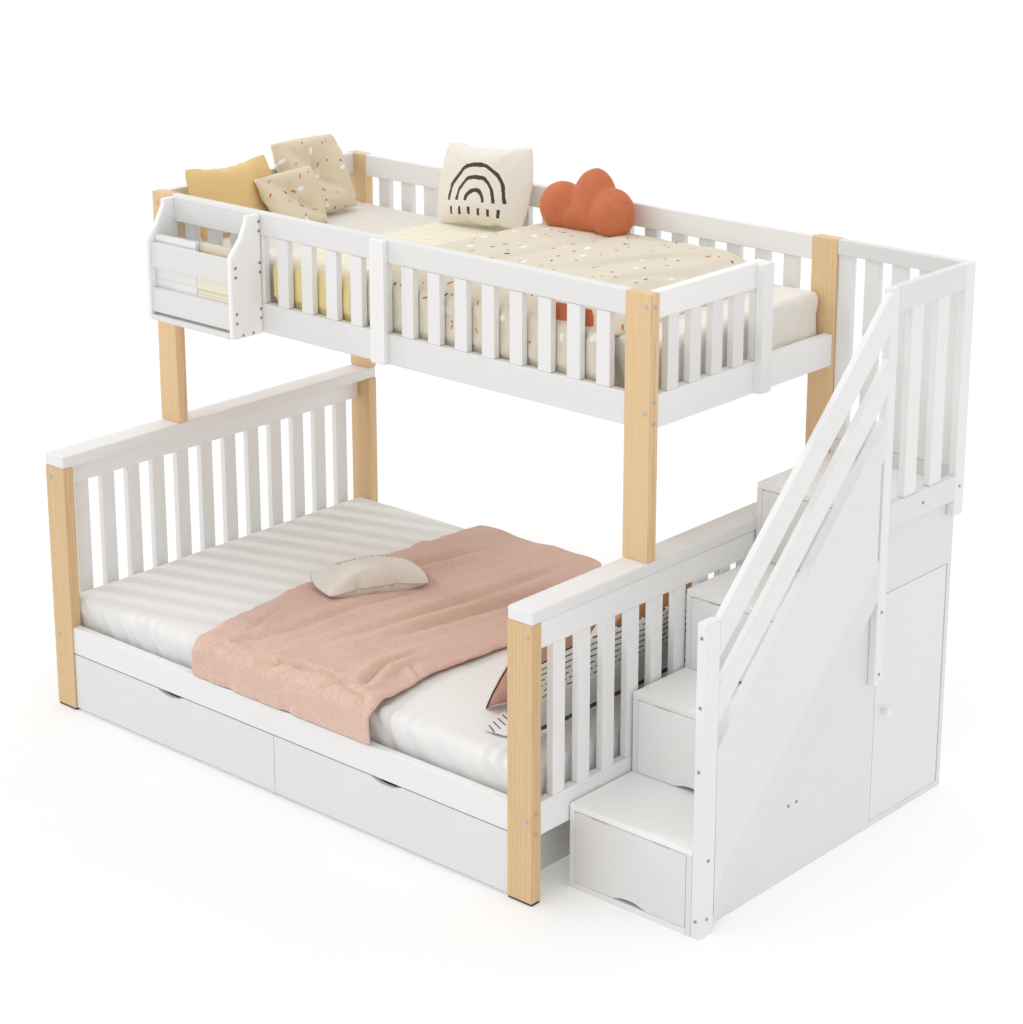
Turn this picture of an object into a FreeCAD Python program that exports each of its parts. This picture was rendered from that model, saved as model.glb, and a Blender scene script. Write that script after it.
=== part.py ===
"""Bunk bed with storage: wide lower bed, narrow upper bunk, box stairs, wardrobe and drawers.

Millimetres, +Z up, X along the bed from head to stairs, Y from front to back.
Everything is drawn from the bed's front left floor corner and moved on saving,
so that the origin lies on the floor under the middle of the whole piece.
"""
import FreeCAD
import Part
import math
import os

V = FreeCAD.Vector

# Mattress spaces and overall sizes
bed_length = 2196.0
bed_depth = 1498.0
upper_front_y = 517.0
top_height = 1746.0
cap_top = 922.0
cap_thickness = 42.0

# Posts and frame boards
post_width = 95.0
post_depth = 40.0
glide_thickness = 6.0
glide_margin = 2.0
rail_thickness = 33.0
rail_inset = 5.0
slat_thickness = 24.0
slat_inset = 2.0
end_slat_width = 53.0
end_slat_count = 12
end_bottom_rail_low = 213.0
end_bottom_rail_height = 104.0
end_top_rail_height = 82.0
side_rail_low = 211.0
side_rail_height = 96.0

# Upper guards
guard_height = 412.0
guard_rail_height = 102.0
guard_top_rail_height = 79.0
guard_slat_width = 51.0
long_guard_slat_count = 17
head_guard_slat_count = 8
foot_guard_slat_count = 5
foot_slat_pitch = 107.0
foot_first_gap = 52.0
batten_width = 64.0
batten_thickness = 20.0
batten_drop = 4.0
stile_width = 54.0
stile_thickness = 28.0

# Bed bases
ledger_height = 34.0
ledger_thickness = 24.0
bed_slat_thickness = 18.0
bed_slat_width = 70.0
bed_slat_count = 13
lower_base_rise = 32.0
upper_base_rise = 62.0
beam_width = 60.0
beam_height = 40.0
beam_leg_width = 50.0
beam_leg_count = 2

# Stairs and wardrobe
stair_width = 452.0
stair_front_y = 170.0
stair_back_inset = 6.0
landing_guard_height = 705.0
step_two_share = 0.2201
step_three_share = 0.4115
landing_share = 0.677
tread_one_share = 0.2622
tread_two_share = 0.5101
tread_three_share = 0.756
stair_board = 20.0
flap_thickness = 18.0
flap_gap = 1.5
flap_pull_length = 120.0
flap_pull_depth = 12.0
hinge_leaf_length = 60.0
hinge_leaf_thickness = 1.2
hinge_leaf_depth = 16.0
hinge_leaf_offset = 62.0
pivot_radius = 3.0
pivot_length = 14.0
pivot_clearance = 0.05
pivot_end_gap = 1.0
door_front_margin = 18.0
door_back_margin = 20.0
door_low = 20.0
door_top_margin = 17.0
door_thickness = 18.0
knob_radius = 12.0
knob_neck_radius = 6.0
knob_neck_length = 10.0
knob_head_length = 14.0
knob_from_edge = 48.0
knob_z = 381.0

# Stair guard
newel_thickness = 33.0
newel_width = 64.0
newel_drop = 77.0
crest_drop = 6.0
sloped_upper_share = 0.1214
sloped_gap_share = 0.0892
sloped_lower_share = 0.11
sloped_panel_gap_share = 0.0861
panel_notch_share = 0.1133
seam_share = 0.077
seam_tangent_share = 0.097
sloped_rail_thickness = 24.0
stringer_thickness = 26.0
panel_back_gap = 23.0
leg_lead = 30.0
leg_width = 45.0
leg_low = 497.0
landing_stile_thickness = 27.0
landing_stile_drop = 104.0
landing_stile_width = 54.0
landing_rail_drop = 49.0
landing_rail_rise = 31.0
landing_slat_width = 65.0
landing_slat_thickness = 22.0
landing_slat_count = 2
back_rail_height = 48.0
back_slat_width = 55.0
back_slat_count = 5

# Book caddy
caddy_post_gap = 10.0
caddy_width = 436.0
caddy_depth = 136.0
caddy_side_thickness = 20.0
caddy_top_drop = 4.0
caddy_knee_share = 0.684
caddy_throat_share = 0.819
caddy_neck_share = 0.951
caddy_throat_setback_share = 0.346
caddy_neck_setback_share = 0.559
caddy_board = 18.0
caddy_rail_height = 84.0
caddy_lower_rail_share = 0.068
caddy_upper_rail_share = 0.453
caddy_top_rail_share = 0.799
caddy_rail_setback = 10.0
book_thickness = 16.0
book_gap = 1.5
book_width_share = 0.465
book_height = 276.0
small_book_height = 244.0

# Drawers
drawer_gap = 2.0
drawer_low = 10.0
drawer_top_gap = 3.0
drawer_front_thickness = 18.0
drawer_board = 12.0
drawer_box_depth = 640.0
drawer_side_drop = 32.0
drawer_box_low = 46.0
drawer_side_inset = 20.0
drawer_pull_length = 130.0
drawer_pull_depth = 14.0
wheel_radius = 20.0
wheel_width = 14.0
wheel_floor_gap = 0.3
axle_radius = 4.0
axle_clearance = 0.05
axle_length = 26.0
axle_cap_radius = 8.0
axle_cap_length = 3.0
wheel_from_end = 70.0

# Fasteners
bolt_radius = 6.5
bolt_height = 2.5
socket_radius = 3.2
socket_depth = 1.6
screw_radius = 5.0
screw_height = 1.6
frame_bolt_inset = 21.0
side_bolt_spread = 65.0
caddy_screw_spread = 32.0
newel_screw_shares = (0.0566, 0.538, 0.7393, 0.9548)
newel_side_screw_shares = (0.0577, 0.2478)
leg_screw_shares = (0.028, 0.19)
stair_screw_shares = ((0.169, 0.115), (0.354, 0.228), (0.385, 0.228), (0.376, 0.377), (0.55, 0.578))

# Soft goods
soft_gap = 0.4
mattress_bulge = 5.0
mattress_crown = 10.0
mattress_draw = 14.0
mattress_edge = 45.0
mattress_end_gap = 3.0
mattress_end_reach = 50.0
lower_mattress_gap = 14.0
lower_mattress_height = 176.0
upper_mattress_front_gap = 39.0
upper_mattress_back_gap = 4.0
upper_mattress_height = 180.0
blanket_front_shares = (0.3245, 0.7185)
blanket_back_shares = (0.2785, 0.582)
blanket_back_gap = 12.0
blanket_hem_inset = 9.0
blanket_thickness = 12.0
blanket_fold = 14.0
blanket_tuck = 2.0
blanket_roll = 35.0
throw_shares = (0.236, 0.408)
throw_thickness = 7.0
throw_fold = 4.0
duvet_shares = (0.41, 0.982)
duvet_height = 66.0
duvet_fold = 18.0
duvet_back_gap = 12.0
drape_clearance = 8.0
drape_thickness = 14.0
drape_fold = 20.0
square_pillow_width = 400.0
square_pillow_height = 292.0
square_pillow_thickness = 110.0
yellow_pillow_width_share = 0.435
yellow_pillow_height = 240.0
yellow_pillow_thickness = 84.0
back_print_width_share = 0.36
back_print_height = 280.0
front_print_width_share = 0.304
front_print_height = 200.0
print_pillow_thickness = 84.0
lying_pillow_width = 400.0
lying_pillow_height = 230.0
lying_pillow_thickness = 98.0
foot_pillow_width_share = 0.28
foot_pillow_height = 350.0
foot_pillow_thickness = 100.0
foot_throw_share = 0.674
foot_throw_rise = 296.0
foot_throw_lean = 92.0
foot_throw_thickness = 16.0
foot_throw_fold = 8.0
foot_throw_setback = 148.0
foot_throw_front_gap = 40.0
cloud_width = 408.0
cloud_height = 214.0
cloud_thickness = 124.0
small_cushion_width = 185.0
small_cushion_height = 70.0
small_cushion_thickness = 26.0

# Loose cushions: places as shares of the mattress, and lean, heading and roll in degrees
leaning_gap = 20.0
yellow_pillow_gap = 16.0
back_print_gap = 26.0
front_print_gap = 8.0
foot_pillow_gap = 35.0
small_cushion_gap = 18.0
square_pillow_along_share = 0.333
square_pillow_angles = (17, 5, -3)
yellow_pillow_across_share = 0.231
yellow_pillow_angles = (12, 90, 0)
back_print_across_share = 0.691
back_print_angles = (18, 78, -5)
front_print_across_share = 0.459
front_print_angles = (16, 84, -5)
lying_pillow_shares = (0.3315, 0.508)
lying_pillow_angles = (90, 63, 0)
foot_pillow_across_shares = (0.3, 0.588)
foot_pillow_angles = (35, -90, 0)
cloud_along_share = 0.571
cloud_angles = (10, 3, 0)
small_cushion_along_share = 0.872
small_cushion_angles = (0, 0, 0)

# Derived places
cap_low = cap_top - cap_thickness
end_top_rail_low = cap_low - end_top_rail_height
end_bottom_rail_top = end_bottom_rail_low + end_bottom_rail_height
side_rail_top = side_rail_low + side_rail_height
guard_rail_low = top_height - guard_height
guard_rail_top = guard_rail_low + guard_rail_height
guard_top_rail_low = top_height - guard_top_rail_height
lower_base_top = side_rail_low + lower_base_rise
upper_base_top = guard_rail_low + upper_base_rise
upper_front_inner = upper_front_y + post_depth
back_post_y = bed_depth - post_depth
right_post_x = bed_length - post_width
stair_left = bed_length
stair_right = stair_left + stair_width
guard_outer = stair_right + newel_thickness
stair_back = bed_depth - stair_back_inset
stair_depth = stair_back - stair_front_y
step_two_y = stair_front_y + step_two_share * stair_depth
step_three_y = stair_front_y + step_three_share * stair_depth
landing_y = stair_front_y + landing_share * stair_depth
landing_top = top_height - landing_guard_height
tread_one_top = tread_one_share * landing_top
tread_two_top = tread_two_share * landing_top
tread_three_top = tread_three_share * landing_top
leg_front_y = landing_y - leg_lead
leg_back_y = leg_front_y + leg_width
landing_stile_y = bed_depth - landing_stile_width
frame_shift = V((bolt_height - guard_outer - screw_height) / 2, (bolt_height - bed_depth) / 2, 0)


def box(x0, x1, y0, y1, z0, z1):
    return Part.makeBox(x1 - x0, y1 - y0, z1 - z0, V(x0, y0, z0))


def cylinder(radius, length, base, direction):
    return Part.makeCylinder(radius, length, base, direction)


def side_board(outline, x0, x1):
    """A board cut to a Y, Z outline and as thick as x0 to x1."""
    points = [V(x0, y, z) for y, z in outline]
    face = Part.Face(Part.makePolygon(points + points[:1]))
    return face.extrude(V(x1 - x0, 0, 0))


def arc_edge(a, b, c):
    return Part.Arc(a, b, c).toShape()


def line_edge(a, b):
    return Part.LineSegment(a, b).toShape()


def save(node, *solids):
    shape = Part.makeCompound(list(solids))
    shape.translate(frame_shift)
    shape.exportStep("parts/%s.step" % node)
    print(node, len(shape.Solids), round(shape.Volume))


def spread(low, high, width, count):
    """Low edges of count equal pieces with equal gaps between low and high."""
    gap = (high - low - count * width) / (count + 1)
    return [low + gap + i * (width + gap) for i in range(count)]


os.makedirs("parts", exist_ok=True)

# Posts, glides and caps
post_corners = [(x, y) for x in (0, right_post_x) for y in (0, back_post_y)]
lower_posts = [box(x, x + post_width, y, y + post_depth, glide_thickness, cap_low) for x, y in post_corners]
save("lower_posts", *lower_posts)
glides = [box(x + glide_margin, x + post_width - glide_margin, y + glide_margin, y + post_depth - glide_margin,
              0, glide_thickness) for x, y in post_corners]
save("post_glides", *glides)
caps = [box(x, x + post_width, 0, bed_depth, cap_low, cap_top) for x in (0, right_post_x)]
save("end_caps", *caps)
upper_corners = [(x, y) for x in (0, right_post_x) for y in (upper_front_y, back_post_y)]
upper_posts = [box(x, x + post_width, y, y + post_depth, cap_top, top_height) for x, y in upper_corners]
save("upper_posts", *upper_posts)

# Rails stand just inside the outer faces of the posts
head_rail_x = (rail_inset, rail_inset + rail_thickness)
foot_rail_x = (bed_length - rail_inset - rail_thickness, bed_length - rail_inset)
head_slat_x = (rail_inset + slat_inset, rail_inset + slat_inset + slat_thickness)
foot_slat_x = (bed_length - rail_inset - slat_inset - slat_thickness, bed_length - rail_inset - slat_inset)
front_rail_y = (rail_inset, rail_inset + rail_thickness)
back_rail_y = (bed_depth - rail_inset - rail_thickness, bed_depth - rail_inset)
guard_front_y = (upper_front_y + rail_inset, upper_front_y + rail_inset + rail_thickness)
guard_slat_y = (guard_front_y[0] + slat_inset, guard_front_y[0] + slat_inset + slat_thickness)
back_slat_y = (back_rail_y[1] - slat_inset - slat_thickness, back_rail_y[1] - slat_inset)


def end_rails(x):
    low = box(*x, post_depth, back_post_y, end_bottom_rail_low, end_bottom_rail_top)
    top = box(*x, post_depth, back_post_y, end_top_rail_low, cap_low)
    return low, top


def end_slats(x):
    starts = spread(post_depth, back_post_y, end_slat_width, end_slat_count)
    return [box(*x, y, y + end_slat_width, end_bottom_rail_top, end_top_rail_low) for y in starts]


save("end_board_rails", *end_rails(head_rail_x), *end_rails(foot_rail_x))
save("headboard_slats", *end_slats(head_slat_x))
save("footboard_slats", *end_slats(foot_slat_x))
save("lower_side_rails",
     box(post_width, right_post_x, *front_rail_y, side_rail_low, side_rail_top),
     box(post_width, right_post_x, *back_rail_y, side_rail_low, side_rail_top))

# Bed bases: ledgers on the rails carry cross slats, and a beam carries the middle of the wide bed
lower_ledger_top = lower_base_top - bed_slat_thickness
lower_ledger_low = max(lower_ledger_top - ledger_height, side_rail_low)
upper_ledger_top = upper_base_top - bed_slat_thickness
upper_ledger_low = max(upper_ledger_top - ledger_height, guard_rail_low)
ledger_x = (post_width, right_post_x)
save("bed_ledgers",
     box(*ledger_x, front_rail_y[1], front_rail_y[1] + ledger_thickness, lower_ledger_low, lower_ledger_top),
     box(*ledger_x, back_rail_y[0] - ledger_thickness, back_rail_y[0], lower_ledger_low, lower_ledger_top),
     box(*ledger_x, guard_front_y[1], guard_front_y[1] + ledger_thickness, upper_ledger_low, upper_ledger_top),
     box(*ledger_x, back_rail_y[0] - ledger_thickness, back_rail_y[0], upper_ledger_low, upper_ledger_top))
slat_starts = spread(post_width, right_post_x, bed_slat_width, bed_slat_count)
save("lower_bed_slats",
     *[box(x, x + bed_slat_width, front_rail_y[1], back_rail_y[0], lower_ledger_top, lower_base_top)
       for x in slat_starts])
save("upper_bed_slats",
     *[box(x, x + bed_slat_width, guard_front_y[1], back_rail_y[0], upper_ledger_top, upper_base_top)
       for x in slat_starts])
drawer_back_y = rail_inset + drawer_front_thickness + drawer_box_depth
beam_y = drawer_back_y + (back_rail_y[0] - drawer_back_y) / 4
beam_low = lower_ledger_top - beam_height
beam_ends = (head_rail_x[1], foot_rail_x[0])
beam = box(*beam_ends, beam_y, beam_y + beam_width, beam_low, lower_ledger_top)
beam_legs = [box(x, x + beam_leg_width, beam_y, beam_y + beam_width, 0, beam_low)
             for x in spread(*beam_ends, beam_leg_width, beam_leg_count)]
save("centre_beam", beam, *beam_legs)

# Upper guards
middle_x = bed_length / 2
front_halves = ((post_width, middle_x), (middle_x, right_post_x))
save("upper_front_rails",
     *[box(*half, *guard_front_y, guard_top_rail_low, top_height) for half in front_halves],
     *[box(*half, *guard_front_y, guard_rail_low, guard_rail_top) for half in front_halves])
save("upper_back_rails",
     box(post_width, right_post_x, *back_rail_y, guard_top_rail_low, top_height),
     box(post_width, right_post_x, *back_rail_y, guard_rail_low, guard_rail_top))
save("upper_head_rails",
     box(*head_rail_x, upper_front_inner, back_post_y, guard_top_rail_low, top_height),
     box(*head_rail_x, upper_front_inner, back_post_y, guard_rail_low, guard_rail_top))
foot_slat_starts = [upper_front_inner + foot_first_gap + i * foot_slat_pitch
                    for i in range(foot_guard_slat_count)]
entry_stile_y = foot_slat_starts[-1] + guard_slat_width / 2 - stile_width / 2
entry_stile_back = entry_stile_y + stile_width
save("upper_foot_rails",
     box(*foot_rail_x, upper_front_inner, entry_stile_back, guard_top_rail_low, top_height),
     box(*foot_rail_x, upper_front_inner, back_post_y, guard_rail_low, guard_rail_top))
save("upper_guard_battens",
     box(middle_x - batten_width / 2, middle_x + batten_width / 2, guard_front_y[0] - batten_thickness,
         guard_front_y[0], guard_rail_low, top_height - batten_drop),
     box(foot_rail_x[1], foot_rail_x[1] + stile_thickness, entry_stile_y, entry_stile_back, guard_rail_low,
         top_height))
long_starts = spread(post_width, right_post_x, guard_slat_width, long_guard_slat_count)
head_starts = spread(upper_front_inner, back_post_y, guard_slat_width, head_guard_slat_count)
guard_slat_z = (guard_rail_top, guard_top_rail_low)
save("upper_guard_slats",
     *[box(x, x + guard_slat_width, *guard_slat_y, *guard_slat_z) for x in long_starts],
     *[box(x, x + guard_slat_width, *back_slat_y, *guard_slat_z) for x in long_starts],
     *[box(*head_slat_x, y, y + guard_slat_width, *guard_slat_z) for y in head_starts],
     *[box(*foot_slat_x, y, y + guard_slat_width, *guard_slat_z) for y in foot_slat_starts])

# Book caddy hung on the outside of the front guard
caddy_back_y = guard_front_y[0]
caddy_front_y = caddy_back_y - caddy_depth
caddy_throat_y = caddy_front_y + caddy_throat_setback_share * caddy_depth
caddy_neck_y = caddy_front_y + caddy_neck_setback_share * caddy_depth
caddy_left_x = post_width + caddy_post_gap
caddy_right_x = caddy_left_x + caddy_width
caddy_low = guard_rail_low
caddy_top = top_height - caddy_top_drop


def caddy_level(share):
    return caddy_low + share * (caddy_top - caddy_low)


caddy_knee_z = caddy_level(caddy_knee_share)
caddy_throat_z = caddy_level(caddy_throat_share)
caddy_neck_z = caddy_level(caddy_neck_share)
caddy_lower_rail_low = caddy_level(caddy_lower_rail_share)
caddy_upper_rail_low = caddy_level(caddy_upper_rail_share)
caddy_top_rail_low = caddy_level(caddy_top_rail_share)
caddy_outline = [(caddy_front_y, caddy_low), (caddy_front_y, caddy_knee_z), (caddy_throat_y, caddy_throat_z),
                 (caddy_neck_y, caddy_neck_z), (caddy_neck_y, caddy_top), (caddy_back_y, caddy_top),
                 (caddy_back_y, caddy_low)]
caddy_inner_x = (caddy_left_x + caddy_side_thickness, caddy_right_x - caddy_side_thickness)
save("caddy_sides", side_board(caddy_outline, caddy_left_x, caddy_inner_x[0]),
     side_board(caddy_outline, caddy_inner_x[1], caddy_right_x))
caddy_front_board = (caddy_front_y + caddy_rail_setback, caddy_front_y + caddy_rail_setback + caddy_board)
caddy_back_board = (caddy_back_y - caddy_board, caddy_back_y)
caddy_boards = [box(*caddy_inner_x, *caddy_front_board, z, z + caddy_rail_height)
                for z in (caddy_lower_rail_low, caddy_upper_rail_low)]
caddy_boards += [box(*caddy_inner_x, *caddy_back_board, z, z + caddy_rail_height)
                 for z in (caddy_lower_rail_low, caddy_upper_rail_low)]
caddy_boards.append(box(*caddy_inner_x, *caddy_back_board, caddy_top_rail_low, caddy_top))
caddy_floor_top = caddy_low + caddy_board
caddy_boards.append(box(*caddy_inner_x, caddy_front_y, caddy_back_y, caddy_low, caddy_floor_top))
save("caddy_boards", *caddy_boards)

# Stairs: two stepped sides, treads across them, and inner boards that close each box
tread_tops = (tread_one_top, tread_two_top, tread_three_top, landing_top)
step_fronts = (stair_front_y, step_two_y, step_three_y, landing_y)
step_backs = (step_two_y, step_three_y, landing_y, stair_back)
stair_outline = [(stair_front_y, 0)]
for front, back, top in zip(step_fronts, step_backs, tread_tops):
    stair_outline += [(front, top - stair_board), (back, top - stair_board)]
stair_outline.append((stair_back, 0))
inner_x = (stair_left + stair_board, stair_right - stair_board)
door_front_y = landing_y + door_front_margin
door_back_y = stair_back - door_back_margin
door_top = tread_three_top - door_top_margin
save("stair_side_left", side_board(stair_outline, stair_left, inner_x[0]))
door_cut = box(inner_x[1], stair_right, door_front_y, door_back_y, door_low, door_top)
save("stair_side_right", side_board(stair_outline, inner_x[1], stair_right).cut(door_cut))
save("stair_treads",
     *[box(stair_left, stair_right, front, back, top - stair_board, top)
       for front, back, top in zip(step_fronts, step_backs, tread_tops)])

floor_one = box(*inner_x, stair_front_y, step_two_y, 0, stair_board)
back_one = box(*inner_x, step_two_y, step_two_y + stair_board, 0, tread_one_top - stair_board)
floor_two = box(*inner_x, step_two_y, step_three_y, tread_one_top - stair_board, tread_one_top)
back_two = box(*inner_x, step_three_y, step_three_y + stair_board, 0, tread_two_top - stair_board)
floor_three = box(*inner_x, step_three_y, landing_y, tread_two_top - stair_board, tread_two_top)
floor_four = box(*inner_x, landing_y, stair_back, tread_three_top - stair_board, tread_three_top)
wardrobe_front = box(*inner_x, landing_y, landing_y + flap_thickness, 0, tread_three_top - stair_board)
wardrobe_floor = box(*inner_x, landing_y + flap_thickness, stair_back, 0, stair_board)
wardrobe_back = box(*inner_x, stair_back - stair_board, stair_back, stair_board, tread_three_top - stair_board)
loft_back = box(*inner_x, stair_back - stair_board, stair_back, tread_three_top, landing_top - stair_board)
save("stair_inner_boards", floor_one, back_one, floor_two, back_two, floor_three, floor_four, wardrobe_front,
     wardrobe_floor, wardrobe_back, loft_back)

# Lift-up flaps: each turns on two pins at its rounded top edge
flap_x = (inner_x[0] + flap_gap, inner_x[1] - flap_gap)
flap_half = flap_thickness / 2
flap_names = ("step_flap_one", "step_flap_two", "step_flap_three", "step_flap_four")
flap_floors = (stair_board, tread_one_top, tread_two_top, tread_three_top)
hinge_pieces = []


def flap_board(front_y, low, high):
    """A flap with a half-round top edge, pin bores and a finger pull in its low edge."""
    axis_y = front_y + flap_half
    axis_z = high - flap_half
    board = box(*flap_x, front_y, front_y + flap_thickness, low, axis_z)
    board = board.fuse(cylinder(flap_half, flap_x[1] - flap_x[0], V(flap_x[0], axis_y, axis_z), V(1, 0, 0)))
    board = board.removeSplitter()
    for x, way in ((flap_x[0], 1), (flap_x[1], -1)):
        bore = cylinder(pivot_radius + pivot_clearance, pivot_length, V(x, axis_y, axis_z), V(way, 0, 0))
        board = board.cut(bore)
    pull_half = flap_pull_length / 2
    pull_x = (flap_x[0] + flap_x[1]) / 2
    pull = Part.Wire([arc_edge(V(pull_x - pull_half, front_y, low), V(pull_x, front_y, low + flap_pull_depth),
                               V(pull_x + pull_half, front_y, low)),
                      line_edge(V(pull_x + pull_half, front_y, low), V(pull_x - pull_half, front_y, low))])
    return board.cut(Part.Face(pull).extrude(V(0, flap_thickness, 0)))


def flap_pins(front_y, high):
    """Pins that stand out of the two stair sides into the flap."""
    axis_y = front_y + flap_half
    axis_z = high - flap_half
    reach = flap_gap + pivot_length - pivot_end_gap
    return [cylinder(pivot_radius, reach, V(x, axis_y, axis_z), V(way, 0, 0))
            for x, way in ((inner_x[0], 1), (inner_x[1], -1))]


def hinge_leaves(front_y, under):
    """Thin plates let in over the flap's top edge, under the tread."""
    starts = (inner_x[0] + hinge_leaf_offset, inner_x[1] - hinge_leaf_offset - hinge_leaf_length)
    back_y = front_y + hinge_leaf_depth
    return [box(x, x + hinge_leaf_length, front_y, back_y, under - hinge_leaf_thickness, under) for x in starts]


for name, front, low, top in zip(flap_names, step_fronts, flap_floors, tread_tops):
    under = top - stair_board
    save(name, flap_board(front, low + flap_gap, under - flap_gap))
    hinge_pieces += flap_pins(front, under - flap_gap) + hinge_leaves(front, under)

# Wardrobe door: turns on upright pins at its rounded back edge
door_half = door_thickness / 2
door_outer = stair_right
door_edge_y = door_back_y - flap_gap
door_axis = V(door_outer - door_half, door_edge_y - door_half, 0)
door_z = (door_low + flap_gap, door_top - flap_gap)
door = box(door_outer - door_thickness, door_outer, door_front_y + flap_gap, door_axis.y, *door_z)
door = door.fuse(cylinder(door_half, door_z[1] - door_z[0], door_axis + V(0, 0, door_z[0]), V(0, 0, 1)))
door = door.removeSplitter()
for z, seat, way in ((door_z[0], door_low, 1), (door_z[1], door_top, -1)):
    bore = cylinder(pivot_radius + pivot_clearance, pivot_length, door_axis + V(0, 0, z), V(0, 0, way))
    door = door.cut(bore)
    pin_reach = flap_gap + pivot_length - pivot_end_gap
    hinge_pieces.append(cylinder(pivot_radius, pin_reach, door_axis + V(0, 0, seat), V(0, 0, way)))
save("wardrobe_door", door)
save("hinge_pins", *hinge_pieces)
knob_y = door_front_y + knob_from_edge
knob = cylinder(knob_neck_radius, knob_neck_length, V(door_outer, knob_y, knob_z), V(1, 0, 0))
knob_head_x = door_outer + knob_neck_length
knob = knob.fuse(cylinder(knob_radius, knob_head_length, V(knob_head_x, knob_y, knob_z), V(1, 0, 0)))
save("wardrobe_knob", knob.removeSplitter())


# Stair guard on the open side, sloping from the newel up to the landing guard
newel_back_y = stair_front_y + newel_width
newel_top = landing_top - newel_drop
guard_slope = (top_height - crest_drop - newel_top) / (leg_front_y - newel_back_y)


def slope_z(y, offset):
    return guard_slope * (y - stair_front_y) + offset


def sloped_outline(low_offset, top_offset, y0, y1):
    return [(y0, slope_z(y0, low_offset)), (y1, slope_z(y1, low_offset)), (y1, slope_z(y1, top_offset)),
            (y0, slope_z(y0, top_offset))]


upper_rail_top_offset = newel_top - slope_z(newel_back_y, 0)
upper_rail_low_offset = upper_rail_top_offset - sloped_upper_share * newel_top
lower_rail_top_offset = upper_rail_low_offset - sloped_gap_share * newel_top
lower_rail_low_offset = lower_rail_top_offset - sloped_lower_share * newel_top
panel_top_offset = lower_rail_low_offset - sloped_panel_gap_share * newel_top
panel_notch_offset = panel_top_offset - panel_notch_share * newel_top
seam_rise = seam_share * newel_top
seam_tangent = seam_tangent_share * newel_top
save("newel_post", box(stair_right, guard_outer, stair_front_y, newel_back_y, 0, newel_top))
rail_x = (guard_outer - sloped_rail_thickness, guard_outer)
upper_rail_outline = sloped_outline(upper_rail_low_offset, upper_rail_top_offset, newel_back_y, leg_front_y)
lower_rail_outline = sloped_outline(lower_rail_low_offset, lower_rail_top_offset, newel_back_y, leg_front_y)
save("stair_guard_rails", side_board(upper_rail_outline, *rail_x), side_board(lower_rail_outline, *rail_x))

# The wide panel's low edge runs down the slope and turns into the newel's back edge
slope_angle = math.atan(guard_slope)
seam_corner_z = slope_z(newel_back_y, seam_rise)
seam_start = (newel_back_y, seam_corner_z - seam_tangent)
seam_end = (newel_back_y + seam_tangent * math.cos(slope_angle),
            seam_corner_z + seam_tangent * math.sin(slope_angle))
seam_radius = seam_tangent / math.tan((math.pi / 2 - slope_angle) / 2)
seam_centre_y = newel_back_y + seam_radius
seam_half_angle = math.pi - (math.pi / 2 - slope_angle) / 2
seam_middle = (seam_centre_y + seam_radius * math.cos(seam_half_angle),
               seam_start[1] + seam_radius * math.sin(seam_half_angle))


def seam_face(x, outline_after):
    """A face at x bounded by the curved seam and the straight outline that follows its upper end."""
    start, middle, end = [V(x, y, z) for y, z in (seam_start, seam_middle, seam_end)]
    corners = [end] + [V(x, y, z) for y, z in outline_after] + [start]
    edges = [arc_edge(start, middle, end)]
    edges += [line_edge(a, b) for a, b in zip(corners, corners[1:])]
    return Part.Face(Part.Wire(edges))


panel_back_y = leg_front_y - panel_back_gap
panel_corners = [(panel_back_y, slope_z(panel_back_y, seam_rise)),
                 (panel_back_y, slope_z(panel_back_y, panel_notch_offset)),
                 (leg_front_y, slope_z(leg_front_y, panel_notch_offset)),
                 (leg_front_y, slope_z(leg_front_y, panel_top_offset)),
                 (newel_back_y, slope_z(newel_back_y, panel_top_offset))]
save("stair_guard_panel", seam_face(stair_right, panel_corners).extrude(V(newel_thickness, 0, 0)))
stringer_low_offset = -slope_z(newel_back_y, 0)
stringer_corners = [(leg_front_y, slope_z(leg_front_y, seam_rise)),
                    (leg_front_y, slope_z(leg_front_y, stringer_low_offset)), (newel_back_y, 0)]
save("stair_stringer", seam_face(stair_right, stringer_corners).extrude(V(stringer_thickness, 0, 0)))

# Landing guards: side guard on the open side, back guard along the wall side
stile_x = (stair_right, stair_right + landing_stile_thickness)
landing_stile_low = landing_top - landing_stile_drop
landing_rail_low = landing_top - landing_rail_drop
landing_rail_top = landing_top + landing_rail_rise
save("landing_guard_stiles", box(*stile_x, leg_front_y, leg_back_y, leg_low, top_height),
     box(*stile_x, landing_stile_y, bed_depth, landing_stile_low, top_height))
back_guard_low = (landing_top, landing_top + back_rail_height)
back_guard_top = (top_height - back_rail_height, top_height)
back_guard_x = (stair_left, stair_right)
side_guard_y = (leg_back_y, landing_stile_y)
save("landing_guard_rails",
     box(*stile_x, *side_guard_y, landing_rail_low, landing_rail_top),
     box(*stile_x, *side_guard_y, guard_top_rail_low, top_height),
     box(*back_guard_x, back_rail_y[0], stair_back, *back_guard_low),
     box(*back_guard_x, back_rail_y[0], stair_back, *back_guard_top))
landing_slat_x = (stair_right, stair_right + landing_slat_thickness)
landing_starts = spread(*side_guard_y, landing_slat_width, landing_slat_count)
back_slat_pitch = (stair_width - back_slat_width) / (back_slat_count - 1)
back_starts = [stair_left + i * back_slat_pitch for i in range(back_slat_count)]
save("landing_guard_slats",
     *[box(*landing_slat_x, y, y + landing_slat_width, landing_rail_top, guard_top_rail_low)
       for y in landing_starts],
     *[box(x, x + back_slat_width, *back_slat_y, back_guard_low[1], back_guard_top[0])
       for x in back_starts])

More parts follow.
